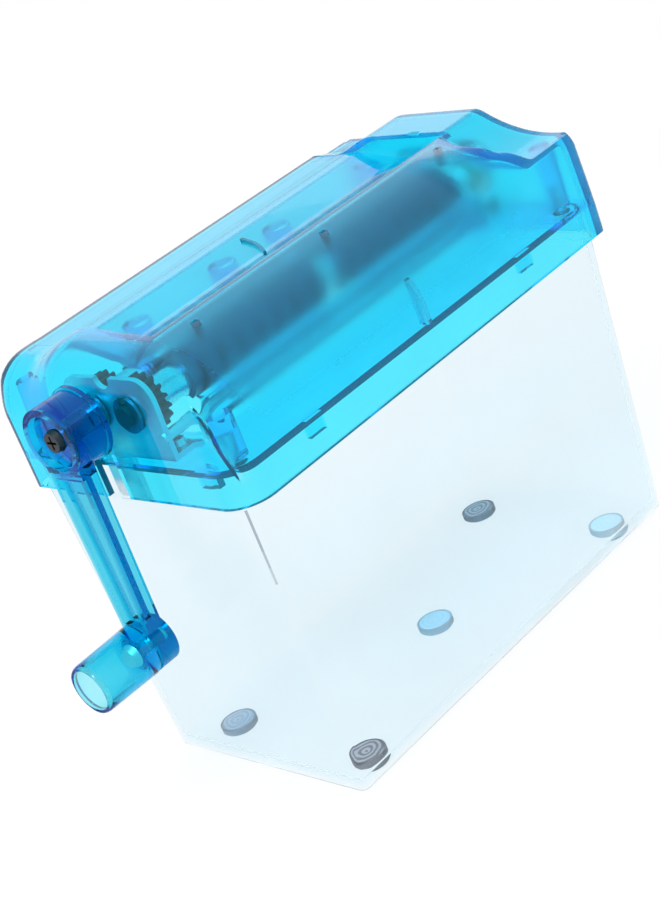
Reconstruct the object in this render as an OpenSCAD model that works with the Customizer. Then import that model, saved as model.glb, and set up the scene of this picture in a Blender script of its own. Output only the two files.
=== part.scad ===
// Hand-cranked paper shredder for small sheets.
// A translucent head with two meshing cutter rollers lifts off a clear bin.
// X runs along the rollers with the crank at the -X end, Y runs from the
// front (-Y) to the back, Z is up, and the feet stand on z = 0.

/* [Head] */
// Length of the head along the rollers
head_length = 155; // [152:1:165]
// Depth of the head from front wall to back wall
head_depth = 91; // [89:1:96]
// Height of the crest above the rim of the bin
crest_rise = 31.7; // [31.5:0.1:34]
// Height of the back ridge above the rim of the bin
ridge_rise = 26.9; // [26.5:0.1:28]
// Thickness of the moulded walls
wall = 1.8; // [1.6:0.1:2]
// Depth of the skirt that hangs over the rim of the bin
skirt_depth = 8.6; // [7:0.1:10]
// Corner radius of the front corner beside the crank
front_corner = 10; // [8:1:11]
// Radius of the other upright corners
corner = 3; // [3:0.5:4]
// Radius that rolls the top into the crank end
end_fillet = 14; // [12:1:15]

/* [Paper trough] */
// Length of the paper slot
slot_length = 113; // [108:1:115]
// Width of the paper slot
slot_width = 3; // [2.6:0.1:3.4]

/* [Bin] */
// Height of the bin from its underside to its rim
bin_height = 100.4; // [90:0.1:115]
// How far each side wall leans in between rim and floor
bin_draft = 4.8; // [4:0.1:5.4]
// Gap between the bin and the skirt around it
bin_gap = 0.35; // [0.3:0.05:0.5]
// Diameter of a rubber foot
foot_diameter = 11; // [10:0.5:13]
// Height of the bin's underside above the table
foot_drop = 1.6; // [1.2:0.1:2.4]

/* [Rollers] */
// Distance between the two shafts
shaft_spacing = 14; // [13.6:0.1:14.2]
// Height of the shafts above the rim of the bin
shaft_rise = 15.1; // [14.8:0.1:15.2]
// Distance of the crank shaft behind the middle of the head
drive_y = 5.5; // [5:0.1:6]
// Diameter of the shafts
shaft_diameter = 6; // [5.6:0.1:6.4]
// Thickness of one cutter disc
disc_width = 3.2; // [2.8:0.1:3.2]
// Number of discs in each half of a roller
disc_count = 7; // [5:1:7]
// Depth by which the discs of the two rollers overlap
disc_overlap = 1.4; // [1:0.1:1.5]
// Number of teeth on each gear
gear_teeth = 16; // [14:2:20]
// Width of the gears
gear_width = 4.8; // [4:0.1:5]

/* [Crank] */
// Distance from the shaft to the knob
crank_reach = 63; // [55:1:75]
// Diameter of the crank hub
hub_diameter = 20; // [18:0.5:22]
// Diameter of the knob at its thick end
knob_diameter = 15.4; // [14:0.2:17]
// Length of the knob
knob_length = 19.5; // [16:0.5:26]

/* [View] */
// Node to draw, or all of them

/* [Hidden] */

$fn = 48;
// Small extra length that lets a cut pass through a face
cut = 1;
// Side gap between parts that move past each other
clear = 0.3;
// Radial gap of a shaft turning in its bore
running = 0.05;
// Number of straight steps in a quarter of a moulded curve
arc_steps = 12;

// Half sizes of the head
half_l = head_length / 2;
half_d = head_depth / 2;
// Heights
rim_z = foot_drop + bin_height;
skirt_z = rim_z - skirt_depth;
crest_z = rim_z + crest_rise;
ridge_z = rim_z + ridge_rise;
shaft_z = rim_z + shaft_rise;
tray_thick = 2;
tray_top = rim_z + tray_thick;

// Roll of the hump over the front roller: the top of a wide ellipse
roll_run = 32.5;
roll_drop = 26.3;
crest_y = roll_run - half_d;
// The deck behind the crest and the slope from it to the back ridge
deck_back = 19;
slope_foot = 31;
// Radius along the back edge of the ridge
ridge_edge = 2.4;
// Far end of the ridge, which steps down beside the deck
ridge_step = 1.8;
ridge_step_in = 19.5;
ridge_step_x = half_l - ridge_step_in;
ridge_step_run = 8;
// Lean of the far end wall
end_lean = 1;
// Height by which cutting shapes stand above the top of the head
above = 9;

// Trough between the crest and the ridge
trough_near = 14.8;
trough_far = 18.5;
trough_front = crest_y - 1.3;
trough_slant = 4.5;
ridge_front = 24;
nip_y = drive_y - shaft_spacing / 2;
trough_ease = 1.9;
ridge_ease = 0.4;
throat_front = nip_y - slot_width / 2;
throat_back = nip_y + slot_width / 2;
lip_rise = 7;
lip_floor = 1;
// Where the round floor behind the slot ends, in degrees above the shaft
trough_arc_end = 84;

// Finger dish at the far end of the hump: a scoop of a large cylinder
dish_radius = 46;
dish_length = 29;
dish_start = half_l - dish_length;
dish_edge = 4.4;
dish_depth = 7.6;
dish_sag = 1.6;
dish_taper = 8;
dish_cut = 30;
dish_base = crest_z - dish_cut;
// Square corner that stands under the dish
dish_corner_r = 3;
dish_corner_run = 6;

// Rollers
driven_y = drive_y - shaft_spacing;
disc_radius = (shaft_spacing + disc_overlap) / 2;
core_radius = shaft_spacing - disc_radius - clear;
disc_gap = 0.4;
disc_pitch = 2 * (disc_width + disc_gap);
bank_gap = 7;
bank_margin = 2.1;
bank_length = disc_count * disc_pitch + bank_margin;
bank_end = bank_gap / 2 + bank_length;
spacer_radius = 4.5;
gear_pitch_r = shaft_spacing / 2;
gear_module = shaft_spacing / gear_teeth;
// Roll of the trough over the back roller
back_roll = disc_radius + wall + 0.4;

// Side plates, counted from the crank end
plate_thick = 1.5;
plate_x = -half_l + wall + 3.1;
plate_inner = plate_x + plate_thick;
far_plate_set_in = 11;
far_plate_x = half_l - far_plate_set_in;
plate_margin = 11;
plate_front = driven_y - plate_margin;
plate_back = drive_y + plate_margin;
plate_rise = 9.5;
plate_top = shaft_z + plate_rise;
flange_reach = 7;
flange_width = 9;
bush_flange = 0.9;
gear_x = plate_inner + bush_flange + clear;
gear_end = gear_x + gear_width;
far_stop = far_plate_x - bush_flange - clear;
far_end_x = far_plate_x + plate_thick + 2.6;

// Bin
bin_wall = 1.8;
rim_half_l = half_l - wall - bin_gap;
bin_half_d = half_d - wall - bin_gap;
// Below the skirt the end walls stand out almost to the face of the skirt
bin_half_l = half_l - 0.2;
shoulder_z = skirt_z - bin_gap;
bin_corner = 2.6;
bin_lean = bin_draft / bin_height;
bin_floor = 2;
// Step by which the rim of the bin is drawn in to enter the skirt
collar_step = 0.2;
foot_inset_l = 14.2;
foot_inset_d = 12;
floor_half_l = bin_half_l - bin_draft;
floor_half_d = bin_half_d - bin_draft;
foot_x = floor_half_l - foot_inset_l;
foot_y = floor_half_d - foot_inset_d;
foot_seat = 0.8;
foot_edge = 0.5;
middle_foot_y = -3;

// Crank
hub_length = 11.8;
hub_in = -half_l - 0.8;
hub_out = hub_in - hub_length;
arm_thick = 5;
arm_out = hub_out + 0.3;
arm_in = arm_out + arm_thick;
arm_top_w = 14.5;
arm_low_w = 11;
knob_z = shaft_z - crank_reach;
knob_in = arm_out - 0.6;
knob_out = knob_in - knob_length;
pin_radius = 2;
screw_radius = 1.5;

// Colours
blue = [0.1, 0.66, 0.86, 0.6];
steel = [0.62, 0.64, 0.66];
dark_steel = [0.3, 0.32, 0.35];
rubber = [0.45, 0.47, 0.5];
bronze = [0.78, 0.63, 0.35];
clear_plastic = [0.86, 0.94, 0.98, 0.35];
pale_blue = [0.75, 0.95, 1, 0.7];

// ---------- shared shapes ----------

// Points of a circular or elliptic arc from angle a0 to a1
function arc(c, rx, ry, a0, a1) =
  [for (i = [0:arc_steps])
    let (a = a0 + (a1 - a0) * i / arc_steps)
    c + [rx * cos(a), ry * sin(a)]];

// Rectangle with four upright corner radii, starting at front left
module rounded(x0, x1, y0, y1, r) {
  polygon(concat(
    arc([x0 + r[0], y0 + r[0]], r[0], r[0], 180, 270),
    arc([x1 - r[1], y0 + r[1]], r[1], r[1], 270, 360),
    arc([x1 - r[2], y1 - r[2]], r[2], r[2], 0, 90),
    arc([x0 + r[3], y1 - r[3]], r[3], r[3], 90, 180)
  ));
}

// Extrudes a (y, z) outline from x0 to x1
module along_x(x0, x1) {
  translate([x0, 0, 0])
    rotate([90, 0, 90])
      linear_extrude(x1 - x0)
        children();
}

// Extrudes an (x, z) outline from y0 to y1
module along_y(y0, y1) {
  translate([0, y1, 0])
    rotate([90, 0, 0])
      linear_extrude(y1 - y0)
        children();
}

// Box between two opposite corners
module block(a, b) {
  translate(a)
    cube(b - a);
}

// Round bar along X
module bar_x(x0, x1, y, z, r0, r1) {
  translate([x0, y, z])
    rotate([0, 90, 0])
      cylinder(h = x1 - x0, r1 = r0, r2 = r1);
}

// Round bar along X of one radius
module rod_x(x0, x1, y, z, r) {
  bar_x(x0, x1, y, z, r, r);
}

// ---------- head shell ----------

// Outline of the head seen from the crank end, pulled in by inset
module head_section(inset, bottom) {
  edge = max(ridge_edge - inset, 0.5);
  back = half_d - inset;
  polygon(concat(
    [[-back, bottom]],
    arc([crest_y, crest_z - roll_drop], -roll_run + inset, roll_drop - inset, 0, 90),
    [[deck_back - inset / 3, crest_z - inset], [slope_foot, ridge_z - inset]],
    arc([half_d - ridge_edge, ridge_z - ridge_edge], edge, edge, 90, 0),
    [[back, bottom]]
  ));
}

// Outline of the head seen from the front, rounded into the crank end
module head_elevation(inset, bottom) {
  r = end_fillet - inset;
  polygon(concat(
    [[-half_l + inset, bottom]],
    arc([-half_l + end_fillet, crest_z - end_fillet], -r, r, 0, 90),
    [[half_l - end_lean - inset, crest_z - inset], [half_l - inset, skirt_z + skirt_depth]],
    [[half_l - inset, bottom]]
  ));
}

// Front corner of the far end, square above the dish
module dish_corner(inset) {
  r = dish_corner_r - inset;
  y0 = -half_d + inset;
  top = crest_z - dish_depth - inset;
  intersection() {
    along_x(dish_start - dish_corner_run, half_l)
      polygon(concat(
        [[y0, dish_base]],
        arc([y0 + r, top - r], -r, r, 0, 90),
        [[crest_y, top], [crest_y, dish_base]]
      ));
    along_y(-half_d, 0)
      polygon([
        [dish_start - dish_corner_run, dish_base],
        [dish_start + dish_corner_run, top + cut],
        [half_l + cut, top + cut],
        [half_l + cut, dish_base]
      ]);
  }
}

// Cylinder that scoops the finger dish; its inner end is rounded
module dish_scoop(grow) {
  axis_y = -half_d + dish_edge;
  axis_z = crest_z - dish_depth - dish_sag + dish_radius;
  r = dish_radius + grow;
  full = dish_start + dish_taper - grow;
  intersection() {
    union() {
      rod_x(full, half_l + cut, axis_y, axis_z, r);
      bar_x(dish_start - grow, full, axis_y, axis_z, r - dish_corner_run, r);
    }
    block([dish_start - grow - cut, axis_y - 2, dish_base],
          [half_l + cut, crest_y + above, crest_z + 2 * above]);
  }
}

// Head without its trough, as a solid block pulled in by inset
module head_block(inset, bottom) {
  near = max(front_corner - inset, 1);
  rest = max(corner - inset, 0.8);
  intersection() {
    union() {
      along_x(-half_l, half_l)
        head_section(inset, bottom);
      dish_corner(inset);
    }
    along_y(-half_d, half_d)
      head_elevation(inset, bottom);
    translate([0, 0, bottom])
      linear_extrude(crest_z)
        rounded(-half_l + inset, half_l - inset, -half_d + inset, half_d - inset,
                [near, rest, rest, rest]);
  }
}

// Space above the trough, grown by g to give the shell below it
module trough_space(g) {
  run = throat_front - trough_front;
  drop = crest_z - shaft_z - lip_rise - trough_ease;
  slope = atan(drop / run);
  dy = g * sin(slope);
  dz = g * cos(slope);
  r = back_roll - g;
  a0 = acos((throat_back + g - drive_y) / r);
  low = shaft_z + lip_rise + (g > 0 ? 0 : lip_floor);
  intersection() {
    along_x(-half_l + trough_near - g, half_l - trough_far + g)
      polygon(concat(
        [[trough_front - dy, crest_z + above], [trough_front - dy, crest_z - dz]],
        [[throat_front - g, crest_z - drop - dz]],
        [[throat_front - g, low], [throat_back + g, low]],
        arc([drive_y, shaft_z], r, r, a0, trough_arc_end),
        [[ridge_front, ridge_z + ridge_ease - g], [half_d + cut, ridge_z - g]],
        [[half_d + cut, crest_z + above]]
      ));
    translate([0, 0, shaft_z])
      linear_extrude(crest_z + above - shaft_z)
        polygon([
          [-half_l + trough_near - g, trough_front - trough_slant],
          [-half_l + trough_near + trough_slant - g, deck_back + g],
          [-half_l + trough_near + trough_slant - g, half_d + 2],
          [half_l - trough_far + g, half_d + 2],
          [half_l - trough_far + g, trough_front - trough_slant]
        ]);
  }
}

// Material taken off the ridge beside the deck
module ridge_cut(g) {
  along_y(deck_back - g, half_d + cut)
    polygon([
      [ridge_step_x - g, ridge_z + above],
      [ridge_step_x - g, ridge_z - g],
      [ridge_step_x + ridge_step_run - g, ridge_z - ridge_step - g],
      [half_l + cut, ridge_z - ridge_step - g],
      [half_l + cut, ridge_z + above]
    ]);
}

// Everything that is cut out of the top, grown by g
module top_cuts(g) {
  slope_end = slope_foot + 7.5;
  trough_space(g);
  dish_scoop(g);
  intersection() {
    ridge_cut(g);
    along_x(0, half_l + cut)
      polygon([
        [slope_end, dish_base],
        [slope_end - g, ridge_z - ridge_step - g],
        [slope_foot - g, ridge_z - g],
        [slope_foot - g, crest_z],
        [half_d + 2, crest_z],
        [half_d + 2, dish_base]
      ]);
  }
}

// Screw posts that stand in the corners of the head
post_from_end = 8.5;
post_from_side = 8;
post_x = half_l - post_from_end;
post_y = half_d - post_from_side;
post_radius = 3.2;
module at_posts() {
  for (sx = [-1, 1], sy = [-1, 1])
    translate([sx * post_x, sy * post_y, 0])
      children();
}

// One post with its top buried in the roof above it
module post(sx, sy, top) {
  translate([sx * post_x, sy * post_y, tray_top])
    cylinder(h = top - tray_top, r = post_radius);
}

module posts() {
  intersection() {
    post(-1, -1, crest_z);
    along_x(-half_l + 2, 0)
      head_section(wall / 2, tray_top);
  }
  post(-1, 1, ridge_z - wall / 2);
  post(1, 1, ridge_z - ridge_step - wall / 2);
  post(1, -1, crest_z - dish_depth - dish_sag - wall / 2);
}

// Round bosses under the floor of the trough, along its back
boss_x = [-44, -10, 13, 54];
boss_y = 16.5;
boss_radius = 4.2;
boss_drop = 2.5;
module trough_bosses() {
  floor_z = ridge_z - wall;
  for (x = boss_x)
    translate([x, boss_y, floor_z - wall - boss_drop])
      cylinder(h = wall + boss_drop, r = boss_radius);
}

// Stiffening rib behind the middle of the front wall
rib_thick = 1.4;
rib_height = 13;
rib_sweep = 26;
rib_top = 8;
rib_foot = 6;
module front_rib() {
  inset = wall / 2;
  along_x(-rib_thick / 2, rib_thick / 2)
    polygon(concat(
      [[-half_d + inset, tray_top]],
      arc([crest_y, crest_z - roll_drop], -roll_run + inset, roll_drop - inset, 0, rib_sweep),
      [[-half_d + rib_top, tray_top + rib_height], [-half_d + rib_foot, tray_top]]
    ));
}

// Half width of the way for the crank shaft
notch_r = shaft_diameter / 2 + 1.5;
vent_radius = 0.8;
vents = [-53, -3, 47];

module top_cover() {
  color(blue)
    difference() {
      union() {
        difference() {
          head_block(0, skirt_z);
          difference() {
            head_block(wall, skirt_z - cut);
            top_cuts(wall);
          }
        }
        posts();
        trough_bosses();
        front_rib();
      }
      top_cuts(0);
      // Slot itself is the narrow part of the trough
      block([-slot_length / 2, throat_front, shaft_z], [slot_length / 2, throat_back, crest_z]);
      // U-shaped way for the crank shaft, open at the bottom of the skirt
      along_x(-half_l - cut, -half_l + wall + cut)
        union() {
          translate([drive_y, shaft_z])
            circle(r = notch_r);
          translate([drive_y - notch_r, skirt_z - cut])
            square([2 * notch_r, shaft_z - skirt_z + cut]);
        }
      at_posts()
        translate([0, 0, tray_top - cut])
          cylinder(h = cover_screw_length + cut, r = screw_radius - 0.1);
      // Three small vents along the hump
      for (x = vents)
        translate([x, crest_y - 8, crest_z - above])
          cylinder(h = 2 * above, r = vent_radius);
    }
}

// ---------- tray that closes the head from below ----------

// Opening through which the strips fall into the bin
chute_reach = 9;
chute_front = driven_y - chute_reach;
chute_back = drive_y + chute_reach;
chute_left = gear_end + 3;
chute_right = far_plate_x - flange_reach - 2;
chute_wall = 1.5;
chute_rise = 2.2;
tab_width = 6;
tab_drop = 5;
tab_thick = 1.6;
tab_x = 45;
tab_y = 29;
// Half width of the tongue of the crank side plate, and the room around it
tongue_half = 6.5;
tongue_drop = 3.2;
tongue_room = 0.2;

// Locating tabs that hang just inside the rim of the bin
module tray_tabs() {
  inset = bin_wall + collar_step + clear + bin_lean * tab_drop;
  in_l = rim_half_l - inset;
  in_d = bin_half_d - inset;
  for (sx = [-1, 1], sy = [-1, 1]) {
    x = sx * tab_x - tab_width / 2;
    y = sy * tab_y - tab_width / 2;
    block([x, sy * (in_d - tab_thick / 2) - tab_thick / 2, rim_z - tab_drop],
          [x + tab_width, sy * (in_d - tab_thick / 2) + tab_thick / 2, rim_z + cut]);
    block([sx * (in_l - tab_thick / 2) - tab_thick / 2, y, rim_z - tab_drop],
          [sx * (in_l - tab_thick / 2) + tab_thick / 2, y + tab_width, rim_z + cut]);
  }
}

module lower_tray() {
  fit = wall + 0.1;
  tray_corner = 1.2;
  color(blue)
    difference() {
      union() {
        translate([0, 0, rim_z])
          linear_extrude(tray_thick)
            rounded(-half_l + fit, half_l - fit, -half_d + fit, half_d - fit,
                    [front_corner - fit, tray_corner, tray_corner, tray_corner]);
        tray_tabs();
        // Upstand around the chute
        difference() {
          block([chute_left - chute_wall, chute_front - chute_wall, rim_z],
                [chute_right + chute_wall, chute_back + chute_wall, tray_top + chute_rise]);
          block([chute_left, chute_front, rim_z],
                [chute_right, chute_back, tray_top + chute_rise + cut]);
        }
      }
      block([chute_left, chute_front, rim_z - cut],
            [chute_right, chute_back, tray_top + cut]);
      // Slot for the tongue of the crank side plate
      block([plate_x - tongue_room, drive_y - tongue_half - tongue_room, rim_z - cut],
            [plate_inner + tongue_room, drive_y + tongue_half + tongue_room, tray_top + cut]);
      at_posts()
        translate([0, 0, rim_z - cut])
          cylinder(h = tray_thick + 2 * cut, r = screw_radius + 0.1);
      at_plate_screws()
        translate([0, 0, rim_z - cut])
          cylinder(h = tray_thick + 2 * cut, r = screw_radius - 0.1);

    }
}

// ---------- screws ----------

// Pan head screw pointing up, its head under z = 0
screw_head = 1.6;
module screw_up(length, r, head_r) {
  socket_depth = 1.1;
  socket_width = 0.7;
  socket_reach = head_r * 0.6;
  difference() {
    union() {
      translate([0, 0, -screw_head])
        cylinder(h = screw_head, r1 = head_r - 0.5, r2 = head_r);
      cylinder(h = length, r = r);
    }
    for (a = [0, 90])
      rotate([0, 0, a])
        translate([-socket_reach, -socket_width / 2, -screw_head - cut])
          cube([2 * socket_reach, socket_width, socket_depth + cut]);
  }
}

cover_screw_length = 9;
cover_screw_head = 2.6;
module cover_screws() {
  color(steel)
    at_posts()
      translate([0, 0, rim_z])
        screw_up(cover_screw_length, screw_radius - 0.1, cover_screw_head);
}

// Positions of the screws that hold the side plates down
module at_plate_screws() {
  edge = 2.6;
  for (x = [plate_inner + flange_reach - edge, far_plate_x - flange_reach + edge])
    for (y = [plate_front + flange_width / 2, plate_back - flange_width / 2])
      translate([x, y, 0])
        children();
}

module plate_screws() {
  color(steel)
    at_plate_screws()
      translate([0, 0, tray_top + plate_thick])
        mirror([0, 0, 1])
          screw_up(plate_thick + tray_thick - 0.2, screw_radius - 0.1, 2.2);
}

// ---------- side plates ----------

rod_z = shaft_z - 6.5;
rod_radius = 1.5;
rod_offset = 9.6;
rod_end = 0.6;
front_rod_y = driven_y - rod_offset;
back_rod_y = drive_y + rod_offset;
bush_radius = 4.5;
bush_rim = 1.2;

// Outline of a side plate with rounded shoulders
module plate_outline(tongue) {
  r = 6;
  difference() {
    union() {
      polygon(concat(
        [[plate_front, tray_top]],
        arc([plate_front + r, plate_top - r], -r, r, 0, 90),
        arc([plate_back - r, plate_top - r], r, r, 90, 0),
        [[plate_back, tray_top]]
      ));
      if (tongue)
        translate([drive_y - tongue_half, skirt_z - tongue_drop])
          square([2 * tongue_half, tray_top - skirt_z + tongue_drop + cut]);
    }
    for (y = [drive_y, driven_y])
      translate([y, shaft_z])
        circle(r = bush_radius);
    for (y = [front_rod_y, back_rod_y])
      translate([y, rod_z])
        circle(r = rod_radius);
    translate([nip_y, plate_top])
      circle(r = 3);
  }
}

// Foot flange of a plate, with its two screw holes
module plate_flange(x0, x1) {
  difference() {
    for (y = [plate_front, plate_back - flange_width])
      block([x0, y, tray_top], [x1, y + flange_width, tray_top + plate_thick]);
    at_plate_screws()
      translate([0, 0, tray_top - cut])
        cylinder(h = plate_thick + 2 * cut, r = screw_radius);
  }
}

module side_plate_crank() {
  color(steel)
    union() {
      along_x(plate_x, plate_inner)
        plate_outline(true);
      plate_flange(plate_x, plate_inner + flange_reach);
    }
}

module side_plate_far() {
  color(steel)
    union() {
      along_x(far_plate_x, far_plate_x + plate_thick)
        plate_outline(false);
      plate_flange(far_plate_x - flange_reach, far_plate_x + plate_thick);
    }
}

module tie_rod(y) {
  color(steel)
    rod_x(plate_x - rod_end, far_plate_x + plate_thick + rod_end, y, rod_z, rod_radius);
}

module tie_rod_front() {
  tie_rod(front_rod_y);
}

module tie_rod_back() {
  tie_rod(back_rod_y);
}

// ---------- stripper combs ----------

comb_end = bank_end + 1.5;
comb_bar = 4;
comb_top = rod_z + 3;
comb_low = rod_z - 4;

// Start of disc number i of a half roller, counted from its lower end
function disc_x(start, i, late) =
  start + disc_gap + i * disc_pitch + (late ? disc_pitch / 2 : 0);

// Lower ends of the two half rollers
bank_starts = [-bank_end, bank_gap / 2];

// Bar on the tie rod with one finger in every gap between the discs
module comb(axis_y, rod_y, late) {
  room = clear + running;
  finger = disc_pitch - disc_width - 2 * room;
  color(blue)
    difference() {
      union() {
        block([-comb_end, rod_y - comb_bar / 2, comb_low],
              [comb_end, rod_y + comb_bar / 2, comb_top]);
        for (start = bank_starts, i = [0:disc_count - 2]) {
          x = disc_x(start, i, late) + disc_width + room;
          block([x, min(rod_y, axis_y), comb_low + 1],
                [x + finger, max(rod_y, axis_y), comb_top - 1]);
        }
      }
      rod_x(-comb_end - cut, comb_end + cut, rod_y, rod_z, rod_radius);
      rod_x(-comb_end - cut, comb_end + cut, axis_y, shaft_z, core_radius + room);
    }
}

module comb_front() {
  comb(driven_y, front_rod_y, true);
}

module comb_back() {
  comb(drive_y, back_rod_y, false);
}

// ---------- bushes and clips ----------

// Flanged bush: body in the plate, flange toward the rollers
module bush(x0, x1, flange_x0, flange_x1, y) {
  color(bronze)
    difference() {
      union() {
        rod_x(x0, x1, y, shaft_z, bush_radius);
        rod_x(flange_x0, flange_x1, y, shaft_z, bush_radius + bush_rim);
      }
      rod_x(x0 - cut, x1 + cut, y, shaft_z, shaft_diameter / 2 + running);
    }
}

module bush_drive_crank() {
  bush(plate_x, plate_inner + bush_flange, plate_inner, plate_inner + bush_flange, drive_y);
}

module bush_driven_crank() {
  bush(plate_x, plate_inner + bush_flange, plate_inner, plate_inner + bush_flange, driven_y);
}

module bush_drive_far() {
  bush(far_plate_x - bush_flange, far_plate_x + plate_thick,
       far_plate_x - bush_flange, far_plate_x, drive_y);
}

module bush_driven_far() {
  bush(far_plate_x - bush_flange, far_plate_x + plate_thick,
       far_plate_x - bush_flange, far_plate_x, driven_y);
}

clip_thick = 0.8;
clip_reach = 2;
clip_mouth = 3.2;
clip_x = [plate_x - clear - clip_thick, far_plate_x + plate_thick + clear];
groove_depth = 0.5;
flat_depth = 0.6;

// Spring clips in the shaft grooves just outside the two plates
module clips(y) {
  color(dark_steel)
    for (x = clip_x)
      difference() {
        rod_x(x, x + clip_thick, y, shaft_z, shaft_diameter / 2 + clip_reach);
        rod_x(x - cut, x + clip_thick + cut, y, shaft_z, shaft_diameter / 2 - groove_depth);
        block([x - cut, y - clip_mouth / 2, shaft_z],
              [x + clip_thick + cut, y + clip_mouth / 2, shaft_z + shaft_diameter]);
      }
}

module drive_clips() {
  clips(drive_y);
}

module driven_clips() {
  clips(driven_y);
}

// ---------- rollers ----------

// Shaft with a groove for each clip and a flat for the gear
module shaft_body(x0, y) {
  r = shaft_diameter / 2;
  difference() {
    rod_x(x0, far_end_x, y, shaft_z, r);
    for (x = clip_x)
      difference() {
        rod_x(x, x + clip_thick, y, shaft_z, r + cut);
        rod_x(x - cut, x + clip_thick + cut, y, shaft_z, r - groove_depth);
      }
    block([gear_x, y - r, shaft_z + r - flat_depth], [gear_end, y + r, shaft_z + r + cut]);
  }
}

// Flats that carry the crank hub
hub_recess = 2.2;
hub_rim = 2;
drive_tip = hub_out + hub_recess + 1.2;
flat_half = shaft_diameter / 2 - 0.7;
screw_bore = 7;
crank_screw_head = 3.3;

module drive_shaft() {
  r = shaft_diameter / 2;
  color(steel)
    difference() {
      shaft_body(drive_tip, drive_y);
      for (s = [-1, 1])
        translate([drive_tip - cut, drive_y + s * (flat_half + r / 2) - r / 2, shaft_z - r - cut])
          cube([hub_in - drive_tip + cut, r, 2 * r + 2 * cut]);
      rod_x(drive_tip - cut, drive_tip + screw_bore, drive_y, shaft_z, screw_radius - 0.1);
    }
}

module driven_shaft() {
  color(steel)
    shaft_body(plate_x - 2.4, driven_y);
}

// One cutter disc with a row of grip notches around its edge
notch_count = 14;
notch_size = 1.1;
module cutter_disc(x, y, turn) {
  along_x(x, x + disc_width)
    translate([y, shaft_z])
      rotate(turn)
        difference() {
          circle(r = disc_radius);
          for (i = [0:notch_count - 1])
            rotate(i * 360 / notch_count)
              translate([disc_radius, 0])
                rotate(45)
                  square(notch_size, center = true);
        }
}

// Half of a roller: a sleeve and its discs in one piece of steel
module cutter_bank(start, y, late) {
  color(dark_steel)
    difference() {
      union() {
        rod_x(start, start + bank_length, y, shaft_z, core_radius);
        for (i = [0:disc_count - 1])
          cutter_disc(disc_x(start, i, late), y, i * 180 / notch_count);
      }
      rod_x(start - cut, start + bank_length + cut, y, shaft_z, shaft_diameter / 2);
    }
}

module drive_cutter_left() {
  cutter_bank(bank_starts[0], drive_y, false);
}

module drive_cutter_right() {
  cutter_bank(bank_starts[1], drive_y, false);
}

module driven_cutter_left() {
  cutter_bank(bank_starts[0], driven_y, true);
}

module driven_cutter_right() {
  cutter_bank(bank_starts[1], driven_y, true);
}

// Sleeves that keep the half rollers and the gear in place on the shaft
module spacers(y) {
  color(steel)
    for (span = [[gear_end, -bank_end], [-bank_gap / 2, bank_gap / 2], [bank_end, far_stop]])
      difference() {
        rod_x(span[0], span[1], y, shaft_z, spacer_radius);
        rod_x(span[0] - cut, span[1] + cut, y, shaft_z, shaft_diameter / 2);
      }
}

module drive_spacers() {
  spacers(drive_y);
}

module driven_spacers() {
  spacers(driven_y);
}

// ---------- gears ----------

pressure_angle = 20;
tooth_play = 0.16;
base_r = gear_pitch_r * cos(pressure_angle);
tip_r = gear_pitch_r + gear_module * 0.9;
root_r = gear_pitch_r - gear_module * 1.3;

// Involute angle in degrees
function involute(a) = tan(a) * 180 / PI - a;

// Half the angle of a tooth at radius r
function tooth_half(r) =
  (90 / gear_teeth - tooth_play / gear_pitch_r * 90 / PI)
  + involute(pressure_angle) - involute(acos(min(1, base_r / r)));

// Radii at which a flank is drawn, from the root to the tip
flank_steps = 5;
flank = [for (i = [0:flank_steps])
  let (r = max(base_r, root_r) + (tip_r - max(base_r, root_r)) * i / flank_steps)
  [r, tooth_half(r)]];

module tooth() {
  foot = tooth_half(base_r) + 1.5;
  polygon(concat(
    [root_r * 0.96 * [cos(foot), -sin(foot)]],
    [for (p = flank) p[0] * [cos(p[1]), -sin(p[1])]],
    [for (i = [flank_steps:-1:0]) flank[i][0] * [cos(flank[i][1]), sin(flank[i][1])]],
    [root_r * 0.96 * [cos(foot), sin(foot)]]
  ));
}

// Spur gear on the flat of its shaft
module gear(y, turn) {
  r = shaft_diameter / 2;
  color(steel)
    along_x(gear_x, gear_end)
      translate([y, shaft_z])
        difference() {
          union() {
            circle(r = root_r);
            for (i = [0:gear_teeth - 1])
              rotate(turn + i * 360 / gear_teeth)
                tooth();
          }
          intersection() {
            circle(r = r);
            translate([-r, -r])
              square([2 * r, 2 * r - flat_depth]);
          }
        }
}

module drive_gear() {
  gear(drive_y, 180);
}

module driven_gear() {
  gear(driven_y, 180 / gear_teeth);
}

// ---------- crank ----------

// Tapered outline of the arm seen from the crank end, pulled in by inset
module arm_outline(inset, top, low) {
  polygon([
    [drive_y - arm_top_w / 2 + inset, top],
    [drive_y + arm_top_w / 2 - inset, top],
    [drive_y + arm_low_w / 2 - inset, low],
    [drive_y - arm_low_w / 2 + inset, low]
  ]);
}

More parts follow.
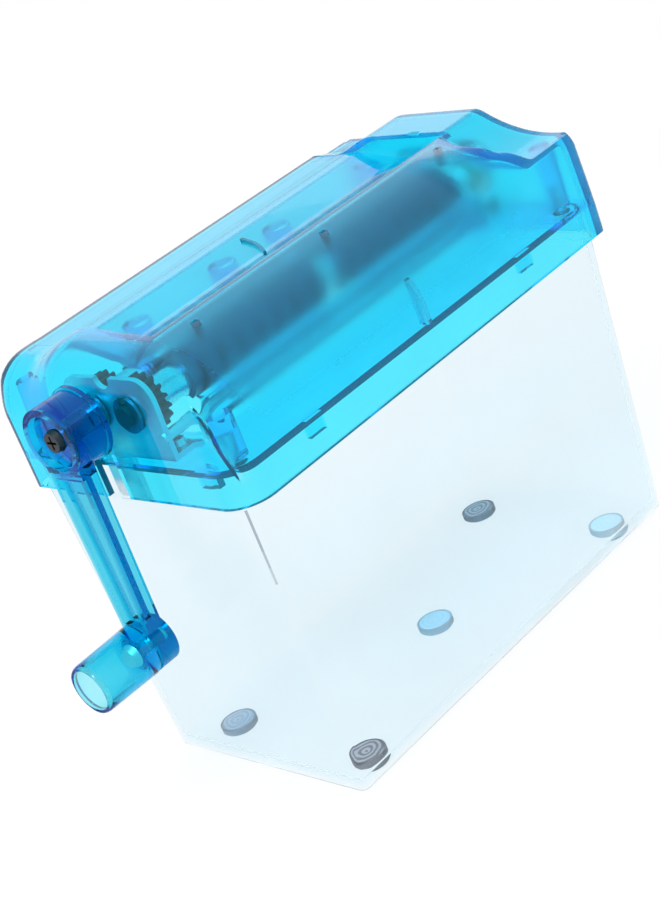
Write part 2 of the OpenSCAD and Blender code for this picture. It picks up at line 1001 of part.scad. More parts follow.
module crank_arm() {
  web = 1.8;
  rib = 1.7;
  collar_length = 1.4;
  collar_rim = 0.7;
  pocket_top = shaft_z - hub_diameter / 2 - 1;
  pocket_low = knob_z + knob_diameter / 2 - 0.6;
  r = shaft_diameter / 2 + running;
  color(blue)
    difference() {
      union() {
        rod_x(hub_out, hub_in, drive_y, shaft_z, hub_diameter / 2);
        rod_x(hub_in - collar_length, hub_in, drive_y, shaft_z, hub_diameter / 2 + collar_rim);
        along_x(arm_out, arm_in)
          arm_outline(0, shaft_z, knob_z);
        rod_x(arm_out - 0.3, arm_in + 1, drive_y, knob_z, knob_diameter / 2 - 0.2);
      }
      // Pockets on both faces leave an I-shaped arm
      along_x(arm_out - cut, (arm_out + arm_in - web) / 2)
        arm_outline(rib, pocket_top, pocket_low);
      along_x((arm_out + arm_in + web) / 2, arm_in + cut)
        arm_outline(rib, pocket_top, pocket_low);
      // Recess for the screw, and the bore with two flats for the shaft
      rod_x(hub_out - cut, hub_out + hub_recess, drive_y, shaft_z, hub_diameter / 2 - hub_rim);
      rod_x(hub_out, drive_tip + 0.1, drive_y, shaft_z, screw_radius);
      intersection() {
        rod_x(drive_tip, hub_in + cut, drive_y, shaft_z, r);
        block([drive_tip, drive_y - flat_half - running, shaft_z - r],
              [hub_in + cut, drive_y + flat_half + running, shaft_z + r]);
      }
      rod_x(arm_out - cut, arm_in + 2, drive_y, knob_z, pin_radius);
    }
}

module crank_screw() {
  color(steel)
    translate([hub_out + hub_recess, drive_y, shaft_z])
      rotate([0, 90, 0])
        screw_up(screw_bore, screw_radius - 0.1, crank_screw_head);
}

knob_floor = 3;
module knob_pin() {
  head = knob_in - knob_floor - clear;
  head_thick = 1.6;
  color(steel)
    union() {
      rod_x(head - 0.5, arm_in + 0.5, drive_y, knob_z, pin_radius);
      bar_x(head - head_thick, head, drive_y, knob_z, pin_radius + 0.6, pin_radius + 1.6);
    }
}

knob_wall = 1.4;
knob_taper = 0.35;
module knob() {
  r_in = knob_diameter / 2;
  r_out = r_in - knob_taper;
  color(blue)
    difference() {
      bar_x(knob_out, knob_in, drive_y, knob_z, r_out, r_in);
      rod_x(knob_out - cut, knob_in - knob_floor, drive_y, knob_z, r_out - knob_wall);
      rod_x(knob_in - knob_floor - cut, knob_in + cut, drive_y, knob_z, pin_radius + running);
    }
}

// Disc that closes the open end of the knob
module knob_cap() {
  cap_radius = knob_diameter / 2 - knob_taper - knob_wall;
  color(pale_blue)
    rod_x(knob_out + 0.7, knob_out + 2, drive_y, knob_z, cap_radius);
}

// ---------- bin ----------

// Solid of the bin from height z0 to z1, pulled in by inset: two leaning
// wedges for the walls and four upright cones for the corners. The solid
// is shorter by draw_in at each end.
module bin_solid(inset, z0, z1, draw_in = 0) {
  core_l = floor_half_l - bin_corner - draw_in;
  core_d = floor_half_d - bin_corner;
  r0 = bin_corner - inset + bin_lean * (z0 - foot_drop);
  r1 = bin_corner - inset + bin_lean * (z1 - foot_drop);
  along_y(-core_d, core_d)
    polygon([
      [-core_l - r0, z0], [core_l + r0, z0], [core_l + r1, z1], [-core_l - r1, z1]
    ]);
  along_x(-core_l, core_l)
    polygon([
      [-core_d - r0, z0], [core_d + r0, z0], [core_d + r1, z1], [-core_d - r1, z1]
    ]);
  for (sx = [-1, 1], sy = [-1, 1])
    translate([sx * core_l, sy * core_d, z0])
      cylinder(h = z1 - z0, r1 = r0, r2 = r1);
}

// Centres of the rubber feet, the last one in the middle
foot_centres = [
  [-foot_x, -foot_y], [foot_x, -foot_y], [-foot_x, foot_y], [foot_x, foot_y],
  [0, middle_foot_y]
];

module waste_bin() {
  draw_in = bin_half_l - rim_half_l - collar_step;
  low = shoulder_z - bin_wall;
  color(clear_plastic)
    difference() {
      union() {
        bin_solid(0, foot_drop, shoulder_z);
        bin_solid(collar_step, shoulder_z - cut, rim_z, draw_in);
      }
      bin_solid(bin_wall, foot_drop + bin_floor, low);
      bin_solid(bin_wall + collar_step, low - cut, rim_z + cut, draw_in);
      for (c = foot_centres)
        translate([c[0], c[1], foot_drop - cut])
          cylinder(h = foot_seat + cut, r = foot_diameter / 2);
    }
}

// Rubber foot in its seat under the bin
module foot(i) {
  color(rubber)
    translate(foot_centres[i])
      union() {
        cylinder(h = foot_edge, r1 = foot_diameter / 2 - foot_edge, r2 = foot_diameter / 2);
        translate([0, 0, foot_edge])
          cylinder(h = foot_drop + foot_seat - foot_edge, r = foot_diameter / 2);
      }
}

module foot_front_left() {
  foot(0);
}

module foot_front_right() {
  foot(1);
}

module foot_back_left() {
  foot(2);
}

module foot_back_right() {
  foot(3);
}

module foot_middle() {
  foot(4);
}

// ---------- nodes ----------

waste_bin();
foot_front_left();
foot_front_right();
foot_back_left();
foot_back_right();
foot_middle();
top_cover();
lower_tray();
cover_screws();
side_plate_crank();
side_plate_far();
plate_screws();
tie_rod_front();
tie_rod_back();
comb_front();
comb_back();
bush_drive_crank();
bush_drive_far();
bush_driven_crank();
bush_driven_far();
drive_shaft();
drive_cutter_left();
drive_cutter_right();
drive_spacers();
drive_gear();
drive_clips();
driven_shaft();
driven_cutter_left();
driven_cutter_right();
driven_spacers();
driven_gear();
driven_clips();
crank_arm();
crank_screw();
knob_pin();
knob();
knob_cap();
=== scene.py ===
"""Hand-cranked mini shredder, dressed for display.

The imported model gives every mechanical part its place. This script moulds
the translucent housing, the clear bin, the crank and the knob as smooth
surfaces, finishes every other part, and sets up a plain studio.

X runs along the rollers with the crank at its low end, Y from front to
back, and Z up. Lengths are in metres inside Blender; shapes are worked out
in millimetres. In the shapes of the cover, g is how far a skin lies inside
the outer one.
"""

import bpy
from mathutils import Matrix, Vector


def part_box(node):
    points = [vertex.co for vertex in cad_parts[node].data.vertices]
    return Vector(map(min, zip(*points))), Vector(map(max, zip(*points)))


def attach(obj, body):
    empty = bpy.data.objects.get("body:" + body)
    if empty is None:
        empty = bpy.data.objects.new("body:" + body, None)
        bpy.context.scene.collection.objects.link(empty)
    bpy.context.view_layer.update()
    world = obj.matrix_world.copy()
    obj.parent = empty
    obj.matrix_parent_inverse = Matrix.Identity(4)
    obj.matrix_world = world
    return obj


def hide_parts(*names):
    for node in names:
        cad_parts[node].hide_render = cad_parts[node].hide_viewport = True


bl_info = {
    "name": "Mini Shredder Studio",
    "version": (1, 0, 0),
    "blender": (4, 5, 0),
    "location": "3D View > Sidebar > Shredder",
    "description": "Moulds and finishes the parts of a hand-cranked mini shredder",
    "category": "Object",
}

from math import pi, radians
from types import SimpleNamespace

import bmesh
import bpy
import numpy as np
from bpy.props import FloatProperty, FloatVectorProperty, PointerProperty
from mathutils import Matrix, Vector

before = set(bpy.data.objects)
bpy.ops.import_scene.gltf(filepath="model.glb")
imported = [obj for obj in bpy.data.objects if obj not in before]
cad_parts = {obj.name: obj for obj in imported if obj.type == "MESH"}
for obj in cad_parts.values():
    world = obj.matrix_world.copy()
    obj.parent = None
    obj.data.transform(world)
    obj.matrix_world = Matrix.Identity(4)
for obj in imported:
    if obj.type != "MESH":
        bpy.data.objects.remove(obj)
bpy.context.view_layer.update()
MM = 0.001

# Thickness of the moulded walls, in metres; the tints of the plastics are given for it
WALL = 0.0018


def node_box(name):
    """Lowest and highest corner of a CAD node in millimetres."""
    low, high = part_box(name)
    return np.array(low) / MM, np.array(high) / MM


HEAD_LOW, HEAD_HIGH = node_box("top_cover")
BIN_LOW, BIN_HIGH = node_box("waste_bin")

# The head: its half length and depth, and the heights of its top and its hem
HALF_L = HEAD_HIGH[0]
HALF_D = HEAD_HIGH[1]
CREST = HEAD_HIGH[2]
SKIRT = HEAD_LOW[2]
RIM = BIN_HIGH[2]
TRAY_TOP = RIM + 2.0

# The far end leans out by this much on its way down
FAR_LEAN = 1.0

# Rows of faces down the walls of the head, and the fall over which a corner grows rounder
WALL_ROWS = 10
CORNER_FALL = 9

# Radii of the beads where the top turns into its walls, and the band of its soft creases
FAR_BEAD = 1.5
BACK_BEAD = 2.4
CORNER_BEAD = 4.5
CREASE = 1.2

# Front of the head: a roll that falls from the crest
CREST_Y = -13.0
ROLL_RUN = HALF_D + CREST_Y
ROLL_DROP = 26.3
FRONT_EDGE = 6.0
SHOULDER_X = 34
SHOULDER_RUN = 22

# Back of the head: a deck, a slope and the lower ridge
RIDGE = CREST - 4.8
DECK_BACK = 19.0
BACK_SLOPE = 0.4
RIDGE_STEP = 1.8
RIDGE_STEP_FROM_END = 19.5
RIDGE_STEP_RUN = 8

# Shafts: their height, and the place of the one that the crank turns
SHAFT = 117.1
DRIVE_Y = 5.5
NOTCH_HALF = 4.5
NOTCH_TOP = 121.6
NOTCH_REACH = 30

# Trough: its ends, of which the left one slants, and the slot and stretches of its floor
TROUGH_LEFT = -62.7
TROUGH_RIGHT = 59.0
TROUGH_SLANT = 4.5
TROUGH_STEEP = 20
SLANT_FRONT = -18.8
SLANT_BACK = 19.0
SLANT_END = -57
SLOT_HALF = 56.5
THROAT_FRONT = -3.0
THROAT_BACK = 0.0
THROAT_LIP = SHAFT + 7
LIP_WALL = 1.0
TROUGH_FRONT = CREST_Y - 1.3
FRONT_SLOPE = 7.7 / 11.3
FRONT_WALL = 1.22
ROLLER_ARCH = 9.9
FLOOR_Y = 6.5
FLOOR_Z = 126.95
FLOOR_SLOPE = 2.35 / 17.5
FLOOR_BACK = 24
FLOOR_BACK_Z = RIDGE + 0.4
FLOOR_BACK_SLOPE = 0.018

# Finger dish: its length from the far end, radius, depth and place, and how its radius
# shrinks over its inner end and closes beyond it
DISH_LENGTH = 29
DISH_RADIUS = 46
DISH_DEPTH = 9.2
DISH_Y = 4.4 - HALF_D
DISH_TAPER = 6
DISH_TAPER_RUN = 9
DISH_CLOSE = 3

# Vents on the crest, each a square hole with a ring of (height, radius) set in it
VENTS = [(-53.0, -21.0), (-3.0, -21.0), (47.0, -21.0)]
VENT_CUT = 0.85
VENT_RING = [
    (-5.0, 0.5), (-0.1, 0.5), (0.02, 0.6), (0.02, 1.15), (-0.1, 1.3), (-5.0, 1.3), (-5.0, 0.5),
]

# Screw posts in the corners, and bosses of (height, radius) under the trough
POSTS = [(-69, -37.5), (-69, 37.5), (69, 37.5), (69, -37.5)]
POST_RADIUS = 3.2
BOSS_X = (-44, -10, 13, 54)
BOSS_Y = 16.5
BOSS = [(121.6, 3.8), (122.0, 4.2), (126.0, 4.2), (126.2, 4.0)]

# Rib on the front wall and paper guide in the trough
RIB_Y = (-45.3, -41.5)
RIB_TOP = 117.0
RIB_HALF = 0.8
GUIDE_START = (1.2, 18.3)
GUIDE_RUN = (-4.6, -13.6)
GUIDE_HALF = 0.45
GUIDE_RISE = 0.9
GUIDE_DEPTH = 2.2

# Bin: its walls lean out over its height. Shelf under the skirt, size at the floor, collar
BIN_LEAN = 4.8 / (BIN_HIGH[2] - BIN_LOW[2])
BIN_SHELF = 93.05
BIN_HALF_L = BIN_HIGH[0] - BIN_LEAN * (BIN_SHELF - BIN_LOW[2])
BIN_HALF_D = 38.55
BIN_WALL = WALL / MM
BIN_CORNER = 2.6
COLLAR_STEP = (2.0, 0.2)
COLLAR_FOOT = 91.6

# Painted shade up the bin's front left corner, a dark line where the corner shows as an edge:
# where each stretch starts, and how dark it is
PAINTED_SHADE_LINE = {70: 0.6, 75: 0.75, 80: 0.85, 86: 0.85}

# Frosting of the inner skin: where along X it begins, and the runs over which it grows,
# along X and up from the tray; and the same on the walls of the far end
FROST_X = 2 - HALF_L
FROST_RUN = 20
FROST_RISE = 12
WALL_FROST_X = 62
WALL_FROST_RUN = 12

# Knob: its bore and wall; and the angle, in degrees, past which an edge stays sharp
KNOB_BORE = 2.06
KNOB_WALL = 1.78
SHARP = 38
SHARP_CRANK = 30

# What is left of the light where the plastics take painted shade, and how much of that painted
# shade some parts take
PAINTED_SHADE_BLUE = (0.003, 0.08, 0.2)
PAINTED_SHADE_CLEAR = (0.12, 0.15, 0.2)
VENT_PAINTED_SHADE = 0.9
RIB_PAINTED_SHADE = 0.25
GUIDE_PAINTED_SHADE = 0.6

# Feet: the rim starts and ends this far from the centre, in metres. Then how light each
# foot is painted against the rubber, painted light and shade for how light reaches each
# one, and how plainly its swirl shows
FOOT_RIM = (0.0046, 0.0051)
FOOT_LIGHT_AND_SWIRL = {
    "foot_front_left": (0.95, 1.0),
    "foot_front_right": (4.2, 0.1),
    "foot_back_left": (2.4, 0.3),
    "foot_back_right": (1.7, 0.6),
    "foot_middle": (3.5, 0.4),
}


# ---------- properties ----------


class ShredderSizes(bpy.types.PropertyGroup):
    """Sizes of the moulded parts."""

    wall: FloatProperty(
        name="Wall", description="Thickness of the walls of the cover", default=WALL,
        min=1.2 * MM, max=2.4 * MM, unit="LENGTH",
    )
    end_fillet: FloatProperty(
        name="End roll", description="Radius that rolls the top into the crank end",
        default=14 * MM, min=10 * MM, max=16 * MM, unit="LENGTH",
    )
    front_corner: FloatProperty(
        name="Front corner", description="Radius of the front corner beside the crank",
        default=10 * MM, min=6 * MM, max=12 * MM, unit="LENGTH",
    )
    corner: FloatProperty(
        name="Corner", description="Radius of the other upright corners",
        default=3 * MM, min=2 * MM, max=5 * MM, unit="LENGTH",
    )
    edge: FloatProperty(
        name="Edge", description="Softness of the edges of crank and knob",
        default=0.45 * MM, min=0.1 * MM, max=0.8 * MM, unit="LENGTH",
    )


class ShredderColours(bpy.types.PropertyGroup):
    """Colours of the parts."""

    blue: FloatVectorProperty(
        name="Blue", description="Tint of one wall of the head", subtype="COLOR",
        size=3, min=0, max=1, default=(0.125, 0.862, 0.99),
    )
    crank: FloatVectorProperty(
        name="Crank", description="Tint of one wall of the crank arm", subtype="COLOR",
        size=3, min=0, max=1, default=(0.13, 0.71, 0.87),
    )
    knob: FloatVectorProperty(
        name="Knob", description="Tint of one wall of the knob", subtype="COLOR",
        size=3, min=0, max=1, default=(0.22, 0.82, 0.95),
    )
    cap: FloatVectorProperty(
        name="Cap", description="Tint of one wall of the cap in the knob", subtype="COLOR",
        size=3, min=0, max=1, default=(0.88, 0.99, 0.99),
    )
    clear: FloatVectorProperty(
        name="Clear", description="Tint of one wall of the bin", subtype="COLOR",
        size=3, min=0, max=1, default=(0.92, 0.97, 0.992),
    )
    steel: FloatVectorProperty(
        name="Steel", description="Zinc plated steel", subtype="COLOR",
        size=3, min=0, max=1, default=(0.80, 0.82, 0.85),
    )
    # The cutters' tone is partly painted light: lighter and bluer than grey steel, it stands in
    # for the blue light reaching them through the cover
    cutter: FloatVectorProperty(
        name="Cutters", description="Hardened steel of the cutters", subtype="COLOR",
        size=3, min=0, max=1, default=(0.15, 0.18, 0.30),
    )
    black: FloatVectorProperty(
        name="Blackened", description="Blackened steel of gears and screws", subtype="COLOR",
        size=3, min=0, max=1, default=(0.06, 0.065, 0.075),
    )
    bronze: FloatVectorProperty(
        name="Bronze", description="Sintered bronze of the bushes", subtype="COLOR",
        size=3, min=0, max=1, default=(0.50, 0.36, 0.20),
    )
    rubber: FloatVectorProperty(
        name="Rubber", description="Grey rubber of the feet", subtype="COLOR",
        size=3, min=0, max=1, default=(0.265, 0.235, 0.25),
    )


# ---------- shader maths ----------


def combine(operation, *values):
    """Adds a Math node for values that are numbers or wrapped sockets."""
    graph = next(v.graph for v in values if isinstance(v, Value))
    node = graph.node("ShaderNodeMath", {"operation": operation}, dict(enumerate(values)))
    return graph.value(node)


class Value:
    """A shader socket that takes part in Python expressions."""

    def __init__(self, graph, socket):
        self.graph = graph
        self.socket = socket

    def __add__(self, other):
        return combine("ADD", self, other)

    def __sub__(self, other):
        return combine("SUBTRACT", self, other)

    def __rsub__(self, other):
        return combine("SUBTRACT", other, self)

    def __mul__(self, other):
        return combine("MULTIPLY", self, other)

    __radd__ = __add__
    __rmul__ = __mul__

    def ramp(self, low, high):
        """0 below low, 1 above high and a smooth step between."""
        node = self.graph.node(
            "ShaderNodeMapRange", {"interpolation_type": "SMOOTHSTEP"},
            {"Value": self, "From Min": low, "From Max": high},
        )
        return self.graph.value(node, "Result")


class Graph:
    """The node tree of one new material."""

    def __init__(self, name):
        self.material = bpy.data.materials.new(name)
        self.material.use_nodes = True
        self.tree = self.material.node_tree
        self.tree.nodes.clear()

    def node(self, kind, settings=None, values=None):
        """Adds a node, sets its settings first, then fills or links its sockets."""
        node = self.tree.nodes.new(kind)
        for key, value in (settings or {}).items():
            setattr(node, key, value)
        for key, value in (values or {}).items():
            if isinstance(value, Value):
                self.tree.links.new(value.socket, node.inputs[key])
            else:
                node.inputs[key].default_value = value
        return node

    def value(self, node, output=0):
        """Wraps one output of a node."""
        return Value(self, node.outputs[output])

    def place(self, scale):
        """Object coordinates, scaled along each axis: a pattern that stays on the part."""
        coords = self.node("ShaderNodeTexCoord")
        mapped = self.node(
            "ShaderNodeMapping", {}, {"Vector": self.value(coords, "Object"), "Scale": scale},
        )
        return self.value(mapped)

    def noise(self, scale, detail=3.0, stretch=(1, 1, 1)):
        """Noise from 0 to 1, scale in features per metre."""
        node = self.node(
            "ShaderNodeTexNoise", {},
            {"Vector": self.place(stretch), "Scale": scale, "Detail": detail},
        )
        return self.value(node, "Fac")

    def blend(self, factor, a, b):
        """Mixes two colours by a factor."""
        node = self.node("ShaderNodeMix", {"data_type": "RGBA"}, {0: factor})
        for index, colour in ((6, a), (7, b)):
            if isinstance(colour, Value):
                self.tree.links.new(colour.socket, node.inputs[index])
            else:
                node.inputs[index].default_value = (*colour, 1)
        return self.value(node, 2)

    def bump(self, height, depth, strength):
        """A normal that follows a height pattern; depth is in metres."""
        node = self.node(
            "ShaderNodeBump", {}, {"Height": height, "Distance": depth, "Strength": strength},
        )
        return self.value(node, "Normal")

    def finish(self, shader, volume=None):
        """Sends a shader to the output and returns the material."""
        out = self.node("ShaderNodeOutputMaterial")
        self.tree.links.new(shader.socket, out.inputs["Surface"])
        if volume is not None:
            self.tree.links.new(volume.socket, out.inputs["Volume"])
        return self.material


def shade(colour, factor):
    """A colour made lighter or darker by a factor."""
    return tuple(min(1.0, c * factor) for c in colour)


def clear_moulding(
    name, tint, roughness, deep=0.6, index=1.3, coat=0.12, inner=None, drift=0.045, painted_glow=0.0,
    painted_shade_colour=None,
):
    """Tinted see-through plastic with a glossy skin.

    The tint is what one wall lets through. A share of it, deep, is taken up in the depth
    of the plastic, so thick places and edges are darker; the rest is at the surfaces.
    The tint varies with the flow in the mould, the roughness with handling marks, and
    the surface has a faint ripple. Lamps shine through. Where inner is given, faces
    marked as inside are that rough: what lies behind them looks blurred. The added glow
    is painted light: a little light of the plastic's own colour that it gives off, though
    it is no lamp. Where a colour of painted shade is given, faces marked for painted shade
    take that colour, so holes, ribs and edges look dark.
    """
    g = Graph(name)
    tint = np.array(tint)
    light = tint ** (1 - deep)
    flow = g.noise(35, 2.0, (1.0, 0.5, 1.0))
    marks = g.noise(420, 4.0)
    rough = marks.ramp(0.55, 0.8) * 0.05 + roughness
    base = g.blend(flow.ramp(0.35, 0.7), shade(light, 1 - drift), tuple(light))
    if inner is not None:
        inside = g.node("ShaderNodeAttribute", {"attribute_name": "inside"})
        rough = rough + g.value(inside, "Fac") * (inner - roughness)
    # Painted shade: faces marked for it take a darker colour, so holes, ribs and edges look dark
    if painted_shade_colour is not None:
        painted_shade = g.node("ShaderNodeAttribute", {"attribute_name": "painted_shade"})
        base = g.blend(g.value(painted_shade, "Fac"), base, painted_shade_colour)
    ripple = g.bump(g.noise(140, 1.0), 0.00006, 0.35)
    plastic = g.node("ShaderNodeBsdfPrincipled", {}, {
        "Base Color": base,
        "Roughness": rough,
        "IOR": index,
        "Transmission Weight": 1.0,
        "Coat Weight": coat,
        "Coat Roughness": 0.2,
        "Coat IOR": 1.5,
        # Painted glow: light of the plastic's own colour, given off though the part is no lamp
        "Emission Color": (*(tint ** 2), 1),
        "Emission Strength": painted_glow,
        "Normal": ripple,
    })
    window = g.node("ShaderNodeBsdfTransparent", {}, {"Color": (*(light ** 0.5), 1)})
    path = g.node("ShaderNodeLightPath")
    mixed = g.node("ShaderNodeMixShader", {}, {
        0: g.value(path, "Is Shadow Ray"), 1: g.value(plastic), 2: g.value(window),
    })
    taken = -np.log(tint) * deep / WALL
    absorb = g.node("ShaderNodeVolumeAbsorption", {}, {
        "Color": (*(1 - taken / taken.max()), 1), "Density": taken.max(),
    })
    return g.finish(g.value(mixed), g.value(absorb))


def worked_metal(name, colour, roughness, grain, stretch=(1, 1, 1)):
    """Metal with a directional grain, faint stains and uneven roughness."""
    g = Graph(name)
    lines = g.noise(grain, 3.0, stretch)
    stains = g.noise(90, 3.0)
    base = g.blend(stains.ramp(0.4, 0.75), colour, shade(colour, 0.78))
    rough = lines * 0.18 + stains * 0.08 + roughness - 0.12
    metal = g.node("ShaderNodeBsdfPrincipled", {}, {
        "Base Color": base,
        "Metallic": 1.0,
        "Roughness": rough,
        "Normal": g.bump(lines, 0.00004, 0.5),
    })
    return g.finish(g.value(metal))


def foot_rubber(name, colour, swirl, centre):
    """Matt rubber with a moulded swirl round its centre, a darker rim and dusty patches."""
    g = Graph(name)
    coords = g.node("ShaderNodeTexCoord")
    local = g.value(g.node("ShaderNodeVectorMath", {"operation": "SUBTRACT"}, {
        0: g.value(coords, "Object"), 1: centre,
    }))
    waves = g.node("ShaderNodeTexWave", {"wave_type": "RINGS", "rings_direction": "Z"}, {
        "Vector": local, "Scale": 190.0, "Distortion": 9.0, "Detail": 1.0, "Detail Scale": 0.6,
    })
    pattern = g.value(waves, "Fac").ramp(0.35, 0.65)
    away = g.node("ShaderNodeVectorMath", {"operation": "LENGTH"}, {0: local})
    rim = g.value(away, "Value").ramp(*FOOT_RIM)
    dust = g.noise(700, 4.0)
    base = g.blend(pattern * swirl, colour, shade(colour, 2.2))
    base = g.blend(dust.ramp(0.55, 0.8) * 0.5, base, shade(colour, 1.5))
    base = g.blend(rim * 0.7, base, shade(colour, 0.45))
    rubber = g.node("ShaderNodeBsdfPrincipled", {}, {
        "Base Color": base,
        "Roughness": dust * 0.2 + 0.6,
        "Normal": g.bump(pattern, 0.0002, 0.5),
    })
    return g.finish(g.value(rubber))


# ---------- surfaces ----------


def soft_min(a, b, k):
    """Smaller of two surfaces, rounded over a band k where they cross."""
    h = np.maximum(k - np.abs(a - b), 0) / k
    return np.minimum(a, b) - h * h * k / 4


def soft_max(a, b, k):
    """Larger of two surfaces, rounded over a band k where they cross."""
    return -soft_min(-a, -b, k)


def smooth(t):
    """Smooth step of t from 0 to 1."""
    t = np.clip(t, 0, 1)
    return t * t * (3 - 2 * t)


def spans(*pieces):
    """Joins (start, end, count) pieces into one increasing list of places."""
    lines = [np.linspace(a, b, n, endpoint=False) for a, b, n in pieces]
    return np.concatenate([*lines, [pieces[-1][1]]])


class Skin:
    """Collects grids of points into one mesh and welds their seams."""

    def __init__(self):
        self.points = []
        self.faces = []
        self.inside = []
        self.painted_shade = []
        self.count = 0

    def grid(self, p, flip=False, keep=None, wrap=False, inside=0, painted_shade=0):
        """Adds a grid p of shape (n, m, 3), whose rows and columns of faces share edges.

        Keep marks the faces that are kept, flip turns them over, and wrap joins the last
        row to the first. The mark inside and the mark of painted shade, 0 to 1, are one value
        or one for each face.
        """
        n, m = p.shape[:2]
        index = np.arange(n * m).reshape(n, m) + self.count
        if wrap:
            index = np.vstack([index, index[:1]])
        quads = np.stack(
            [index[:-1, :-1], index[1:, :-1], index[1:, 1:], index[:-1, 1:]], axis=-1,
        )
        inside = np.broadcast_to(inside, quads.shape[:2])
        painted_shade = np.broadcast_to(painted_shade, quads.shape[:2])
        if keep is not None:
            quads, inside, painted_shade = quads[keep], inside[keep], painted_shade[keep]
        quads = quads.reshape(-1, 4)
        if flip:
            quads = quads[:, ::-1]
        self.points.append(p.reshape(-1, 3))
        self.faces.extend(quads.tolist())
        self.inside.extend(inside.ravel().tolist())
        self.painted_shade.extend(painted_shade.ravel().tolist())
        self.count += n * m

    def lid(self, ring, flip=False, painted_shade=0):
        """Closes a flat ring of points with one face."""
        order = list(range(self.count, self.count + len(ring)))
        self.points.append(ring)
        self.faces.append(order[::-1] if flip else order)
        self.inside.append(0)
        self.painted_shade.append(painted_shade)
        self.count += len(ring)

    def make(self, name, body, material, replaces):
        """Makes the object: welded, smooth with sharp edges kept, riding on its body."""
        mesh = bpy.data.meshes.new(name)
        points = np.vstack(self.points) * MM
        mesh.from_pydata(points.tolist(), [], self.faces)
        for mark, values in (("inside", self.inside), ("painted_shade", self.painted_shade)):
            mesh.attributes.new(mark, "FLOAT", "FACE").data.foreach_set("value", values)
        return finish_mesh(mesh, name, body, material, SHARP, replaces)


def finish_mesh(mesh, name, body, material, sharp, replaces):
    """Welds a mesh, marks its sharp edges, and adds it to the model."""
    work = bmesh.new()
    work.from_mesh(mesh)
    bmesh.ops.remove_doubles(work, verts=work.verts, dist=2e-6)
    bmesh.ops.dissolve_degenerate(work, edges=work.edges, dist=1e-7)
    bmesh.ops.recalc_face_normals(work, faces=work.faces)
    if any(len(edge.link_faces) != 2 for edge in work.edges):
        raise RuntimeError(f"{name} isn't closed")
    work.to_mesh(mesh)
    work.free()
    mesh.shade_smooth()
    mesh.set_sharp_from_angle(angle=radians(sharp))
    mesh.materials.append(material)
    piece = bpy.data.objects.new(name, mesh)
    bpy.context.scene.collection.objects.link(piece)
    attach(piece, body)
    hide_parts(*replaces)
    return piece


# ---------- top cover ----------


def drop(distance, radius):
    """How far a rounded edge lies below its corner: zero beyond the radius."""
    d = np.clip(distance, 0, radius)
    return radius - np.sqrt(np.maximum(radius ** 2 - (radius - d) ** 2, 0))


def corner_centre(side, radius, low, high):
    """Centre of the arc at one corner of a rectangle; side is the sign of X and of Y there."""
    return [
        high[axis] - radius if side[axis] > 0 else low[axis] + radius for axis in (0, 1)
    ]


def squeeze_corners(x, y, low, high, radii):
    """Bends the square corners of a grid onto circular arcs.

    Inside each corner square, (u, v) becomes (u sqrt(1 - v^2/2), v sqrt(1 - u^2/2)).
    """
    x, y = x.copy(), y.copy()
    for (sx, sy), r in radii.items():
        cx, cy = corner_centre((sx, sy), r, low, high)
        u = (x - cx) * sx / r
        v = (y - cy) * sy / r
        inside = (u > 0) & (v > 0)
        nu = u * np.sqrt(np.maximum(1 - v * v / 2, 0))
        nv = v * np.sqrt(np.maximum(1 - u * u / 2, 0))
        x = np.where(inside, cx + sx * nu * r, x)
        y = np.where(inside, cy + sy * nv * r, y)
    return x, y


def corner_depth(x, y, low, high, radii):
    """Distance in from the arc of each corner, and how far round the arc, 0 to 1 to 0."""
    depth = np.full(x.shape, 99.0)
    turn = np.zeros(x.shape)
    for (sx, sy), r in radii.items():
        cx, cy = corner_centre((sx, sy), r, low, high)
        u = np.maximum((x - cx) * sx, 0)
        v = np.maximum((y - cy) * sy, 0)
        inside = (u > 0) & (v > 0)
        reach = np.hypot(u, v)
        depth = np.where(inside, r - reach, depth)
        turn = np.where(inside, 2 * u * v / np.maximum(reach ** 2, 1e-9), turn)
    return depth, turn


def roll_height(x, y, g):
    """Front of the head: a superellipse z = z0 + b (1 - |t|^n)^(1/n).

    Its power n rises from 2, a round roll, to 7, a square shoulder, under the dish.
    """
    power = 2 + 5 * smooth((x - SHOULDER_X) / SHOULDER_RUN)
    t = np.clip((CREST_Y - y) / (ROLL_RUN - g), 0, 1)
    return CREST - ROLL_DROP + (ROLL_DROP - g) * (1 - t ** power) ** (1 / power)


def plateau_height(x, y, g):
    """Deck behind the crest, the slope and the lower ridge, which steps down at its far end."""
    step = smooth((x - (HALF_L - RIDGE_STEP_FROM_END - g)) / RIDGE_STEP_RUN)
    slope = CREST - (y - DECK_BACK + g / 3) * BACK_SLOPE
    back = soft_max(slope, RIDGE - RIDGE_STEP * step, CREASE)
    return soft_min(np.full(x.shape, CREST), back, CREASE) - g


def dish_height(x, y, g):
    """Finger dish: the underside of a wide cylinder along X whose inner end tapers."""
    start = HALF_L - DISH_LENGTH - g
    taper = DISH_TAPER * (1 - smooth((x - start) / DISH_TAPER_RUN))
    taper = taper + np.maximum(start - x, 0) * DISH_CLOSE
    radius = np.maximum(DISH_RADIUS + g - taper, 0)
    axis_z = CREST - DISH_DEPTH + DISH_RADIUS
    return axis_z - np.sqrt(np.maximum(radius ** 2 - (y - DISH_Y) ** 2, 0))


def trough_lean(y):
    """How far the slanting left end of the trough lies from its front corner."""
    return np.clip((y - SLANT_FRONT) / (SLANT_BACK - SLANT_FRONT), 0, 1) * TROUGH_SLANT


